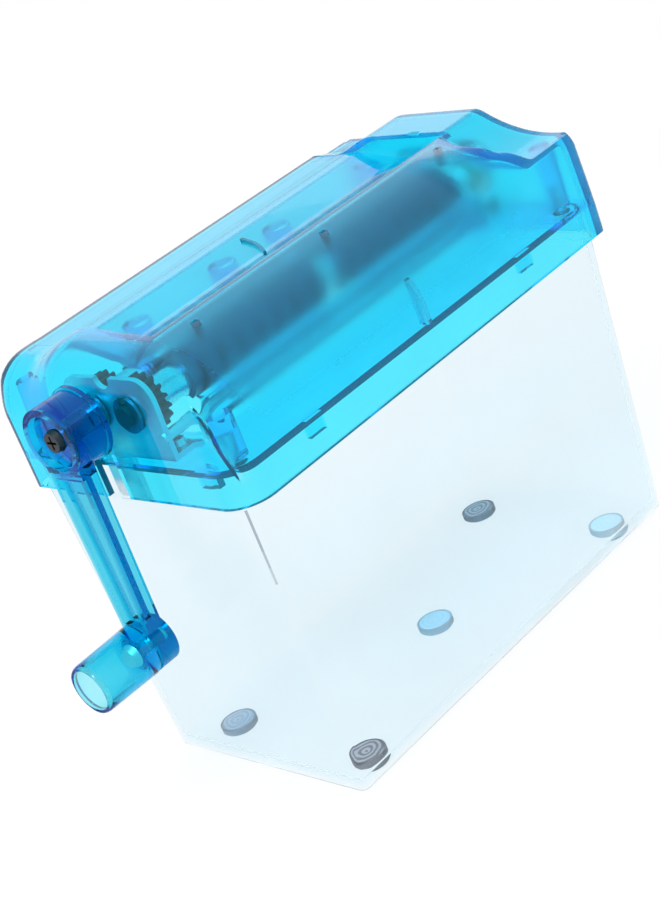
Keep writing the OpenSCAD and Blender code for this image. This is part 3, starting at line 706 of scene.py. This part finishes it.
def trough_height(x, y, g):
    """Floor of the paper trough with steep walls at its two ends.

    From front to back: a slope down to the slot, the lip of the slot, an arch over the
    back roller, a rising floor, and a last stretch level with the ridge.
    """
    front = CREST - (y - TROUGH_FRONT) * FRONT_SLOPE - g * FRONT_WALL
    arch = np.sqrt(np.maximum((ROLLER_ARCH - g) ** 2 - (y - DRIVE_Y) ** 2, 0)) + SHAFT
    back = FLOOR_Z - g + (y - FLOOR_Y) * FLOOR_SLOPE
    last = FLOOR_BACK_Z - g - (y - FLOOR_BACK) * FLOOR_BACK_SLOPE
    back = np.where(y > FLOOR_BACK, last, back)
    floor = np.where(y < THROAT_FRONT - g, front, np.where(y < FLOOR_Y, arch, back))
    throat = (y >= THROAT_FRONT - g - 1e-6) & (y <= THROAT_BACK + g + 1e-6)
    floor = np.where(throat, THROAT_LIP + (0 if g else LIP_WALL), floor)
    left = (TROUGH_LEFT + trough_lean(y) - g - x) * TROUGH_STEEP
    right = (x - TROUGH_RIGHT - g) * TROUGH_STEEP
    return soft_max(floor, np.maximum(left, right) + floor, 1.0)


def cover_height(x, y, g, low, high, radii, end_radius):
    """Height of the head over the table at (x, y), for a skin g inside the outer one."""
    fall = drop(x - low[0], end_radius - g)
    deck = plateau_height(x, y, g) - fall
    top = soft_min(roll_height(x, y, g), deck, 0.05 + 3 * smooth(fall / 5))
    top = soft_min(top, dish_height(x, y, g), CREASE)
    depth, turn = corner_depth(x, y, low, high, radii)
    top = top - drop(high[0] - x, max(FAR_BEAD - g, 0.4))
    top = top - drop(high[1] - y, max(BACK_BEAD - g, 0.6))
    top = top - drop(depth, CORNER_BEAD) * turn
    return soft_min(top, trough_height(x, y, g), 0.9)


def cover_lines(g, end_radius):
    """Places of the grid lines: close together where the surface turns."""
    mid = end_radius - HALF_L
    turn = np.linspace(0, np.arccos(2 / (end_radius - g)), 15)[:-1]
    first = mid - (end_radius - g) * np.cos(turn)
    edge = HALF_L - FAR_LEAN - g
    left = TROUGH_LEFT - g
    right = TROUGH_RIGHT + g
    rest = spans(
        (mid - 2, left - 0.4, 3), (left - 0.4, left + 0.2, 6), (left + 0.2, SLANT_END, 10),
        (SLANT_END, -SLOT_HALF, 1), (-SLOT_HALF, 40, 40), (40, SLOT_HALF, 30),
        (SLOT_HALF, right - 0.2, 4), (right - 0.2, right + 0.4, 6), (right + 0.4, 63, 4),
        (63, edge - FAR_BEAD - 0.1, 14),
    )
    bead = edge - FAR_BEAD * (1 - np.sin(np.linspace(0, pi / 2, 7)))
    xs = np.concatenate([first, rest, bead])
    turn = np.linspace(0, np.arccos(3 / (ROLL_RUN - g)), 37)[:-1]
    front = CREST_Y - (ROLL_RUN - g) * np.cos(turn)
    back = HALF_D - g
    ys = np.concatenate([
        front,
        spans(
            (-16, -12.6, 12), (-12.6, THROAT_FRONT - g, 12),
            (THROAT_FRONT - g, THROAT_BACK + g, 4), (THROAT_BACK + g, 8, 12), (8, 17, 10),
            (17, 33, 20), (33, 41.8, 9),
        ),
        back - 3 * (1 - np.sin(np.linspace(0, pi / 2, 9))),
    ])
    return xs, ys


def nearest(lines, place):
    """Index of the grid line nearest to a place."""
    return int(np.abs(lines - place).argmin())


def edge_ring(p):
    """Points round the border of a grid."""
    return np.concatenate([p[:-1, 0], p[-1, :-1], p[:0:-1, -1], p[0, :0:-1]])


def skirt_wall(ring, square, limits, radii, notch_lines):
    """Walls that hang from the border of the top, as a grid (around, down, 3).

    Each wall point lies straight below its border point, except that a corner grows
    rounder toward the hem: its radius goes from its top value to its hem value over the
    first CORNER_FALL down. The far end leans out toward the rim of the bin. Beside the
    crank the two grid lines of the notch move to its sides, and the row under the border
    follows its arch, a half circle.
    """
    top = ring[:, 2][:, None]
    levels = top + (SKIRT - top) * np.linspace(0, 1, WALL_ROWS + 1)[None, :]
    wall = np.repeat(ring[:, None, :], WALL_ROWS + 1, axis=1)
    wall[..., 2] = levels
    top_radii, hem_radii = radii
    for row in range(1, WALL_ROWS + 1):
        share = smooth((top[:, 0] - levels[:, row]) / CORNER_FALL)
        for corner, r in top_radii.items():
            turned = squeeze_corners(
                square[:, 0], square[:, 1], *limits,
                {corner: r + (hem_radii[corner] - r) * share},
            )
            moved = (square[:, 0] * corner[0] > 0) & (square[:, 1] * corner[1] > 0)
            wall[moved, row, 0] = turned[0][moved]
            wall[moved, row, 1] = turned[1][moved]
    lean = np.clip((top - levels) / np.maximum(top - RIM, 1), 0, 1)
    far = ring[:, 0][:, None] > HALF_L - 12
    wall[..., 0] += np.where(far, lean * FAR_LEAN, 0)

    y = ring[:, 1]
    end = ring[:, 0] < ring[:, 0].min() + 1e-4
    middle = end & (np.abs(y) < NOTCH_REACH)
    notch = end & (y >= notch_lines[0] - 1e-6) & (y <= notch_lines[1] + 1e-6)
    moved = np.interp(
        y, [-NOTCH_REACH, *notch_lines, NOTCH_REACH],
        [-NOTCH_REACH, DRIVE_Y - NOTCH_HALF, DRIVE_Y + NOTCH_HALF, NOTCH_REACH],
    )
    reach = np.clip((moved - DRIVE_Y) / NOTCH_HALF, -1, 1)
    arch = SHAFT + (NOTCH_TOP - SHAFT) * np.sqrt(np.maximum(1 - reach ** 2, 0))
    start = np.where(notch, arch, np.minimum(SHAFT, levels[:, 1]))
    for row in range(1, WALL_ROWS + 1):
        share = (row - 1) / (WALL_ROWS - 1)
        wall[middle, row, 1] = moved[middle]
        wall[end, row, 2] = (start + (SKIRT - start) * share)[end]
    columns = notch & np.roll(notch, -1)
    keep = np.ones((len(ring), WALL_ROWS), bool)
    keep[columns, 1:] = False
    return wall, keep, columns


def cover_skin(g, sizes, vents, notch):
    """One skin of the cover, g inside the outer one: top, walls, and the edges of its holes.

    Vents are the grid cells that are left open on the crest. Notch is the pair of grid
    lines on either side of the crank shaft.
    """
    end_radius = sizes.end_fillet / MM
    small = sizes.corner / MM
    rest = max(small - g, 1.0)
    radii = {
        (-1, -1): FRONT_EDGE - 2.2 * g, (1, -1): small + g, (1, 1): rest, (-1, 1): rest + 2.0,
    }
    hem_radii = {**radii, (-1, -1): sizes.front_corner / MM - g}
    low = (-HALF_L + g, -HALF_D + g)
    high = (HALF_L - FAR_LEAN - g, HALF_D - g)
    xs, ys = cover_lines(g, end_radius)
    x, y = np.meshgrid(xs, ys, indexing="ij")
    slant = np.interp(xs, [-HALF_L + g, TROUGH_LEFT - g, SLANT_END], [0, 1, 0])
    x = x + trough_lean(y) * slant[:, None]
    square = edge_ring(np.stack([x, y], axis=-1))
    x, y = squeeze_corners(x, y, low, high, radii)
    for (i, j), (vx, vy) in zip(vents, VENTS):
        x[i:i + 2, j:j + 2] = [[vx - VENT_CUT] * 2, [vx + VENT_CUT] * 2]
        y[i:i + 2, j:j + 2] = [[vy - VENT_CUT, vy + VENT_CUT]] * 2
    top = np.stack([x, y, cover_height(x, y, g, low, high, radii, end_radius)], axis=-1)

    left, right = nearest(xs, -SLOT_HALF), nearest(xs, SLOT_HALF)
    front, back = nearest(ys, THROAT_FRONT - g), nearest(ys, THROAT_BACK + g)
    keep = np.ones((len(xs) - 1, len(ys) - 1), bool)
    keep[left:right, front:back] = False
    holes = [edge_ring(top[left:right + 1, front:back + 1])]
    for i, j in vents:
        keep[i, j] = False
        holes.append(edge_ring(top[i:i + 2, j:j + 2]))
    sides, side_keep, columns = skirt_wall(
        edge_ring(top), square, (low, high), (radii, hem_radii), ys[notch],
    )
    return SimpleNamespace(
        top=top, keep=keep, sides=sides, side_keep=side_keep, columns=columns, holes=holes,
    )


def notch_border(part):
    """Points of one skin up one side of the notch, along its arch and down the other."""
    cut = np.flatnonzero(part.columns)
    first, last = cut[0], cut[-1] + 1
    return np.concatenate([
        part.sides[first, :0:-1], part.sides[first + 1:last, 1], part.sides[last, 1:],
    ])


def add_cover_shell(skin, sizes):
    """Outer and inner skin of the cover, joined round the hem, the holes and the notch.

    The inner skin is frosted, less toward the crank and the tray, and on its walls only
    at the far end.
    """
    xs, ys = cover_lines(0.0, sizes.end_fillet / MM)
    vents = [(int((xs < x).sum()) - 1, int((ys < y).sum()) - 1) for x, y in VENTS]
    notch = [nearest(ys, DRIVE_Y + side * NOTCH_HALF) for side in (-1, 1)]
    outer, inner = [cover_skin(g, sizes, vents, notch) for g in (0.0, sizes.wall / MM)]
    for part, inside in ((outer, 0), (inner, 1)):
        middle = (part.top[:-1, :-1] + part.top[1:, 1:]) / 2
        frost = smooth((middle[..., 0] - FROST_X) / FROST_RUN)
        frost = frost * smooth((middle[..., 2] - TRAY_TOP) / FROST_RISE)
        wall_frost = smooth((part.sides[:, 1:, 0] - WALL_FROST_X) / WALL_FROST_RUN)
        skin.grid(part.top, keep=part.keep, inside=frost * inside)
        skin.grid(part.sides, keep=part.side_keep, wrap=True, inside=wall_frost * inside)
    hem = np.stack([outer.sides[:, -1], inner.sides[:, -1]], axis=1)
    skin.grid(hem, keep=~outer.columns[:, None], wrap=True)
    for edges in zip(outer.holes, inner.holes):
        skin.grid(np.stack(edges, axis=1), flip=True, wrap=True)
    borders = np.stack([notch_border(outer), notch_border(inner)], axis=1)
    skin.grid(borders, flip=True)
    return outer.top, inner.top


def add_turned(skin, centre, axis, profile, count=48, painted_shade=0):
    """A turned shape: the profile of (place, radius) pairs carried round an axis.

    A profile that ends where it began makes a ring; any other is closed by two flat lids.
    """
    place = np.array([p for p, _ in profile])
    radius = np.array([r for _, r in profile])
    turn = np.linspace(0, 2 * pi, count, endpoint=False)
    c, s = np.cos(turn)[:, None] * radius, np.sin(turn)[:, None] * radius
    along = np.repeat(place[None, :], count, axis=0)
    order = {"x": (along, c, s), "z": (c, s, along)}[axis]
    points = np.stack(order, axis=-1) + np.array(centre)
    skin.grid(points, wrap=True, painted_shade=painted_shade)
    if profile[0] != profile[-1]:
        skin.lid(points[:, 0], painted_shade=painted_shade)
        skin.lid(points[:, -1], painted_shade=painted_shade)


def add_bar(skin, path, half, depth, painted_shade):
    """A thin upright bar that follows a path of (x, y, top) points.

    Each cross-section is a rectangle 2 half wide, square to the path and depth tall.
    """
    along = np.gradient(path[:, :2], axis=0)
    along /= np.linalg.norm(along, axis=1)[:, None]
    side = np.stack([-along[:, 1], along[:, 0]], axis=-1) * half
    rows = [
        np.column_stack([path[:, :2] + sign * side, path[:, 2] - down])
        for sign, down in ((-1, 0), (1, 0), (1, depth), (-1, depth))
    ]
    points = np.stack([*rows, rows[0]], axis=1)
    skin.grid(points, painted_shade=painted_shade)
    skin.lid(points[0, :4], painted_shade=painted_shade)
    skin.lid(points[-1, :4], painted_shade=painted_shade)


def add_ribs(skin, outer):
    """The upright rib inside the front wall and the curved paper guide in the trough.

    The rib stays just under the outer skin. The guide bends as a parabola in plan and
    stands a little above the trough floor.
    """
    middle = nearest(outer[:, 3, 0], 0)
    y = np.linspace(*RIB_Y, 9)
    z = np.interp(y, outer[middle, :, 1], outer[middle, :, 2]) - 0.15
    z = np.minimum(z, RIB_TOP)
    # The rib takes painted shade, so that it shows as dark lines
    add_bar(skin, np.column_stack([y * 0, y, z]), RIB_HALF, z - TRAY_TOP - 0.1, RIB_PAINTED_SHADE)
    turn = np.linspace(0, 1, 14)
    x = GUIDE_START[0] + GUIDE_RUN[0] * turn ** 2
    y = GUIDE_START[1] + GUIDE_RUN[1] * turn
    z = FLOOR_Z + (y - FLOOR_Y) * FLOOR_SLOPE + GUIDE_RISE
    # The guide takes painted shade, so that it shows as a dark line
    add_bar(skin, np.column_stack([x, y, z]), GUIDE_HALF, GUIDE_DEPTH, GUIDE_PAINTED_SHADE)


class SHREDDER_OT_cover(bpy.types.Operator):
    """Mould the translucent top cover with its trough, dish, posts and rib"""

    bl_idname = "shredder.cover"
    bl_label = "Top cover"

    def execute(self, context):
        skin = Skin()
        outer, inner = add_cover_shell(skin, context.scene.shredder_sizes)
        for x, y in POSTS:
            near = np.hypot(inner[..., 0] - x, inner[..., 1] - y) < POST_RADIUS + 1.3
            top = inner[..., 2][near].min() - 0.05
            add_turned(skin, (x, y, 0), "z", [
                (TRAY_TOP + 0.02, POST_RADIUS - 0.4), (TRAY_TOP + 0.5, POST_RADIUS),
                (top - 0.3, POST_RADIUS), (top, POST_RADIUS - 0.3),
            ], 32)
        for x in BOSS_X:
            add_turned(skin, (x, BOSS_Y, 0), "z", BOSS, 32)
        for x, y in VENTS:
            near = np.hypot(outer[..., 0] - x, outer[..., 1] - y).argmin()
            rim = outer[..., 2].flat[near]
            # Each vent ring takes painted shade, so that the hole looks dark
            add_turned(skin, (x, y, rim), "z", VENT_RING, 24, VENT_PAINTED_SHADE)
        add_ribs(skin, outer)
        # The cover carries a painted glow that brightens it, and painted shade on its marked faces
        blue = clear_moulding(
            "blue_cover", context.scene.shredder_colours.blue, 0.03, inner=0.4, painted_glow=0.028,
            painted_shade_colour=PAINTED_SHADE_BLUE,
        )
        skin.make("moulded_cover", "head", blue, replaces=("top_cover",))
        return {"FINISHED"}


# ---------- bin ----------


def rounded_ring(a, b, r, z):
    """Ring of a rectangle 2a by 2b with corner radius r at height z."""
    turn = np.linspace(0, pi / 2, 16)
    c, s = np.cos(turn) * r, np.sin(turn) * r
    xs = np.concatenate([a - r + c, -(a - r) - s, -(a - r) - c, a - r + s])
    ys = np.concatenate([b - r + s, b - r + c, -(b - r) - s, -(b - r) - c])
    return np.stack([xs, ys, np.full(len(xs), z)], axis=-1)


def bin_ring(z, inset, collar):
    """Ring of the bin at height z, set in from its outer wall; the collar is stepped in.

    The walls lean, so each ring is wider than the one at the floor by the lean times
    its height.
    """
    grow = BIN_LEAN * (z - BIN_LOW[2]) - inset
    step_x, step_y = COLLAR_STEP if collar else (0.0, 0.0)
    radius = max(BIN_CORNER + grow, 0.9)
    return rounded_ring(BIN_HALF_L + grow - step_x, BIN_HALF_D + grow - step_y, radius, z)


class SHREDDER_OT_bin(bpy.types.Operator):
    """Mould the clear bin with leaning walls and a collar that enters the skirt"""

    bl_idname = "shredder.bin"
    bl_label = "Waste bin"

    def execute(self, context):
        base = BIN_LOW[2]
        outside = [(base, 1.2), (base + 0.15, 0.6), (base + 0.6, 0.15)]
        outside += [(z, 0) for z in (base + 1.2, *PAINTED_SHADE_LINE, BIN_SHELF - 0.55)]
        outside += [(BIN_SHELF - 0.1, 0.15), (BIN_SHELF, 0.5)]
        collar = [
            (BIN_SHELF + 0.05, 0), (RIM - 0.6, 0), (RIM - 0.15, 0.15), (RIM, 0.6),
            (RIM, 1.4), (RIM - 0.15, 1.75), (RIM - 0.6, BIN_WALL), (COLLAR_FOOT, BIN_WALL),
        ]
        inside = [
            (COLLAR_FOOT - 0.4, BIN_WALL), (45, BIN_WALL), (base + 4.2, BIN_WALL),
            (base + 2.7, BIN_WALL + 0.4), (base + 2.1, BIN_WALL + 1.2),
            (base + 2, BIN_WALL + 2.4),
        ]
        rings = [bin_ring(*place, False) for place in outside]
        rings += [bin_ring(*place, True) for place in collar]
        rings += [bin_ring(*place, False) for place in inside]
        points = np.stack(rings, axis=1)
        # Painted shade: a dark line up the front left corner of the bin, where the corner shows as
        # an edge
        painted_shade = np.zeros((points.shape[0], points.shape[1] - 1))
        front_left = (points[:, 3, 0] + points[:, 3, 1]).argmin()
        start = outside.index((min(PAINTED_SHADE_LINE), 0))
        painted_shade[front_left, start:start + len(PAINTED_SHADE_LINE)] = list(PAINTED_SHADE_LINE.values())
        skin = Skin()
        skin.grid(points, wrap=True, painted_shade=painted_shade)
        skin.lid(points[:, 0])
        skin.lid(points[:, -1], flip=True)
        # The bin's plastic darkens its marked faces with painted shade
        plastic = clear_moulding(
            "clear_bin", context.scene.shredder_colours.clear, 0.02, deep=0.5, index=1.05,
            coat=0.2, drift=0.012, painted_shade_colour=PAINTED_SHADE_CLEAR,
        )
        skin.make("moulded_bin", "bin", plastic, replaces=("waste_bin",))
        return {"FINISHED"}


# ---------- crank and knob ----------


def softened_copy(node, name, body, material, edge):
    """A CAD part as a welded copy with small rounded edges, in place of the part."""
    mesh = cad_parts[node].data.copy()
    mesh.materials.clear()
    work = bmesh.new()
    work.from_mesh(mesh)
    bmesh.ops.remove_doubles(work, verts=work.verts, dist=5e-6)
    bmesh.ops.dissolve_limit(work, angle_limit=radians(1.0), verts=work.verts, edges=work.edges)
    work.to_mesh(mesh)
    work.free()
    own_normals = mesh.attributes.get("custom_normal")
    if own_normals:
        mesh.attributes.remove(own_normals)
    piece = finish_mesh(mesh, name, body, material, SHARP_CRANK, (node,))
    bevel = piece.modifiers.new("soft edge", "BEVEL")
    bevel.width = edge
    bevel.segments = 2
    bevel.limit_method = "ANGLE"
    bevel.angle_limit = radians(SHARP_CRANK)
    bevel.harden_normals = True
    return piece


def knob_profile(face, back, radius):
    """Profile of the knob from its bore over the back rim, the outside and the open face.

    Face and back are the places of its two ends along X. The hollow inside is as wide as
    the radius less KNOB_WALL, and it ends in a floor 3 mm thick.
    """
    hollow = radius - KNOB_WALL
    return [
        (back - 2.9, KNOB_BORE), (back - 0.2, KNOB_BORE), (back, 2.3), (back, radius - 0.9),
        (back - 0.35, radius - 0.3), (back - 1.0, radius), (face + 1.6, radius - 0.3),
        (face + 0.6, radius - 0.45), (face + 0.1, radius - 0.8), (face, radius - 1.2),
        (face + 0.25, radius - 1.6), (face + 0.8, hollow), (back - 4.4, hollow),
        (back - 3.4, radius - 2.4), (back - 3.0, radius - 3.4), (back - 3.0, 2.3),
        (back - 2.9, KNOB_BORE),
    ]


class SHREDDER_OT_crank(bpy.types.Operator):
    """Soften the crank arm and turn the knob with its bore"""

    bl_idname = "shredder.crank"
    bl_label = "Crank and knob"

    def execute(self, context):
        edge = context.scene.shredder_sizes.edge
        colours = context.scene.shredder_colours
        arm = clear_moulding("blue_crank", colours.crank, 0.04, index=1.18)
        softened_copy("crank_arm", "moulded_crank_arm", "drive", arm, edge)
        low, high = node_box("knob")
        middle = (low + high) / 2
        profile = knob_profile(low[0], high[0], (high[1] - low[1]) / 2)
        skin = Skin()
        add_turned(skin, (0, middle[1], middle[2]), "x", profile, 72)
        pale = clear_moulding("blue_knob", colours.knob, 0.03, deep=0.7, index=1.2)
        skin.make("moulded_knob", "handle", pale, replaces=("knob",))
        return {"FINISHED"}


# ---------- finishes of the CAD parts ----------


FINISHES = {
    "blue": ("lower_tray", "comb_front", "comb_back"),
    "cap": ("knob_cap",),
    "zinc": (
        "cover_screws", "side_plate_crank", "side_plate_far", "plate_screws", "tie_rod_front",
        "tie_rod_back", "knob_pin",
    ),
    "turned": ("drive_shaft", "drive_spacers", "driven_spacers"),
    "cutter": (
        "drive_cutter_left", "drive_cutter_right", "driven_cutter_left", "driven_cutter_right",
        "drive_clips", "driven_clips",
    ),
    "black": ("crank_screw", "driven_shaft", "drive_gear", "driven_gear"),
    "bronze": ("bush_drive_crank", "bush_drive_far", "bush_driven_crank", "bush_driven_far"),
}


def dress(names, material):
    """Gives CAD parts one material."""
    for name in names:
        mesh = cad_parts[name].data
        mesh.materials.clear()
        mesh.materials.append(material)


class SHREDDER_OT_mechanism(bpy.types.Operator):
    """Finish the rollers, gears, plates, bushes, screws and tray"""

    bl_idname = "shredder.mechanism"
    bl_label = "Mechanism"

    def execute(self, context):
        colours = context.scene.shredder_colours
        materials = {
            # The tray and the cap carry a painted glow, light they give off though they are no
            # lamps
            "blue": clear_moulding("blue_tray", colours.blue, 0.06, index=1.1, painted_glow=0.03),
            "cap": clear_moulding("pale_cap", colours.cap, 0.2, painted_glow=0.06),
            "zinc": worked_metal("zinc_plate", colours.steel, 0.34, 900, (1, 1, 0.08)),
            "turned": worked_metal("turned_steel", colours.steel, 0.28, 1500, (1, 0.1, 0.1)),
            "cutter": worked_metal("cutter_steel", colours.cutter, 0.4, 1800),
            "black": worked_metal("blackened_steel", colours.black, 0.45, 900),
            "bronze": worked_metal("sintered_bronze", colours.bronze, 0.5, 2600),
        }
        for finish, names in FINISHES.items():
            dress(names, materials[finish])
        return {"FINISHED"}


class SHREDDER_OT_feet(bpy.types.Operator):
    """Finish the five rubber feet"""

    bl_idname = "shredder.feet"
    bl_label = "Rubber feet"

    def execute(self, context):
        rubber = context.scene.shredder_colours.rubber
        # Each foot is painted lighter or darker: painted light and shade for how light reaches it
        for name, (light, swirl) in FOOT_LIGHT_AND_SWIRL.items():
            low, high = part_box(name)
            centre = ((low[0] + high[0]) / 2, (low[1] + high[1]) / 2, high[2])
            dress([name], foot_rubber(f"rubber_{name}", shade(rubber, light), swirl, centre))
        return {"FINISHED"}


# ---------- studio ----------


CAMERA_PLACE = (-0.323354, -0.394760, 0.286023)
CAMERA_RIGHT = (0.64098015, -0.69116201, -0.33382559)
CAMERA_DOWN = (-0.51457346, -0.0642371, -0.8550367)
CAMERA_FORWARD = (0.56952489, 0.71983934, -0.39682833)
CAMERA_LENS = 77.27
CAMERA_SENSOR = 36
LAMP_TARGET = (0, 0, 0.11)
PAPER_HALF = 6.0


def add_lamp(name, place, size, power, colour=(1, 1, 1)):
    """A soft rectangular lamp that the camera itself doesn't see."""
    data = bpy.data.lights.new(name, "AREA")
    data.shape = "RECTANGLE"
    data.size, data.size_y = size
    data.energy = power
    data.color = colour
    lamp = bpy.data.objects.new(name, data)
    bpy.context.scene.collection.objects.link(lamp)
    lamp.location = place
    toward = Vector(LAMP_TARGET) - lamp.location
    lamp.rotation_euler = toward.to_track_quat("-Z", "Y").to_euler()
    lamp.visible_camera = False
    lamp.visible_transmission = False


def paper_floor():
    """White floor: it keeps a soft shadow near the object and fades to plain white."""
    g = Graph("white_floor")
    coords = g.node("ShaderNodeTexCoord")
    length = g.node(
        "ShaderNodeVectorMath", {"operation": "LENGTH"}, {0: g.value(coords, "Object")},
    )
    away = g.value(length, "Value").ramp(0.16, 0.42)
    path = g.node("ShaderNodeLightPath")
    seen = combine("MAXIMUM", g.value(path, "Is Camera Ray"), g.value(path, "Is Transmission Ray"))
    seen = combine("MAXIMUM", seen, g.value(path, "Is Glossy Ray"))
    matt = g.node("ShaderNodeBsdfDiffuse", {}, {"Color": (0.94, 0.94, 0.94, 1)})
    white = g.node("ShaderNodeEmission", {}, {"Color": (1, 1, 1, 1), "Strength": 1.0})
    share = combine("MAXIMUM", away * seen, seen * 0.88)
    mixed = g.node("ShaderNodeMixShader", {}, {0: share, 1: g.value(matt), 2: g.value(white)})
    return g.finish(g.value(mixed))


def studio_sky():
    """White all round."""
    world = bpy.data.worlds.new("studio")
    world.use_nodes = True
    sky = world.node_tree.nodes["Background"]
    sky.inputs["Color"].default_value = (1, 1, 1, 1)
    sky.inputs["Strength"].default_value = 1.0
    return world


class SHREDDER_OT_studio(bpy.types.Operator):
    """Set up the floor, the lamps, the sky and the camera"""

    bl_idname = "shredder.studio"
    bl_label = "Studio"

    def execute(self, context):
        scene = context.scene
        half = PAPER_HALF
        mesh = bpy.data.meshes.new("floor")
        corners = [(-half, -half, 0), (half, -half, 0), (half, half, 0), (-half, half, 0)]
        mesh.from_pydata(corners, [], [(0, 1, 2, 3)])
        mesh.materials.append(paper_floor())
        floor = bpy.data.objects.new("floor", mesh)
        scene.collection.objects.link(floor)
        scene.world = studio_sky()
        add_lamp("panel_back", (0.80, 1.02, 0.60), (1.2, 0.36), 0.7, (0.98, 0.93, 1.0))
        add_lamp("key_left", (-0.62, -0.30, 1.0), (0.35, 0.25), 6)
        data = bpy.data.cameras.new("camera")
        data.lens = CAMERA_LENS
        data.sensor_width = CAMERA_SENSOR
        data.clip_start = 0.01
        camera = bpy.data.objects.new("camera", data)
        scene.collection.objects.link(camera)
        turn = Matrix((
            CAMERA_RIGHT, [-c for c in CAMERA_DOWN], [-c for c in CAMERA_FORWARD],
        )).transposed()
        camera.matrix_world = Matrix.Translation(CAMERA_PLACE) @ turn.to_4x4()
        scene.camera = camera
        scene.view_settings.view_transform = "Standard"
        return {"FINISHED"}


class SHREDDER_PT_panel(bpy.types.Panel):
    """Sidebar panel with the sizes, colours and steps"""

    bl_idname = "SHREDDER_PT_panel"
    bl_label = "Mini shredder"
    bl_space_type = "VIEW_3D"
    bl_region_type = "UI"
    bl_category = "Shredder"

    def draw(self, context):
        for group in (context.scene.shredder_sizes, context.scene.shredder_colours):
            column = self.layout.column(align=True)
            for key in group.__annotations__:
                column.prop(group, key)
        for step in STEPS:
            self.layout.operator(step.bl_idname)


STEPS = (
    SHREDDER_OT_cover, SHREDDER_OT_bin, SHREDDER_OT_crank, SHREDDER_OT_mechanism,
    SHREDDER_OT_feet, SHREDDER_OT_studio,
)
CLASSES = (ShredderSizes, ShredderColours, *STEPS, SHREDDER_PT_panel)


def register():
    for item in CLASSES:
        bpy.utils.register_class(item)
    bpy.types.Scene.shredder_sizes = PointerProperty(type=ShredderSizes)
    bpy.types.Scene.shredder_colours = PointerProperty(type=ShredderColours)


def unregister():
    del bpy.types.Scene.shredder_colours
    del bpy.types.Scene.shredder_sizes
    for item in reversed(CLASSES):
        bpy.utils.unregister_class(item)


def main():
    register()
    bpy.ops.shredder.cover()
    bpy.ops.shredder.bin()
    bpy.ops.shredder.crank()
    bpy.ops.shredder.mechanism()
    bpy.ops.shredder.feet()
    bpy.ops.shredder.studio()


if __name__ == "__main__":
    main()
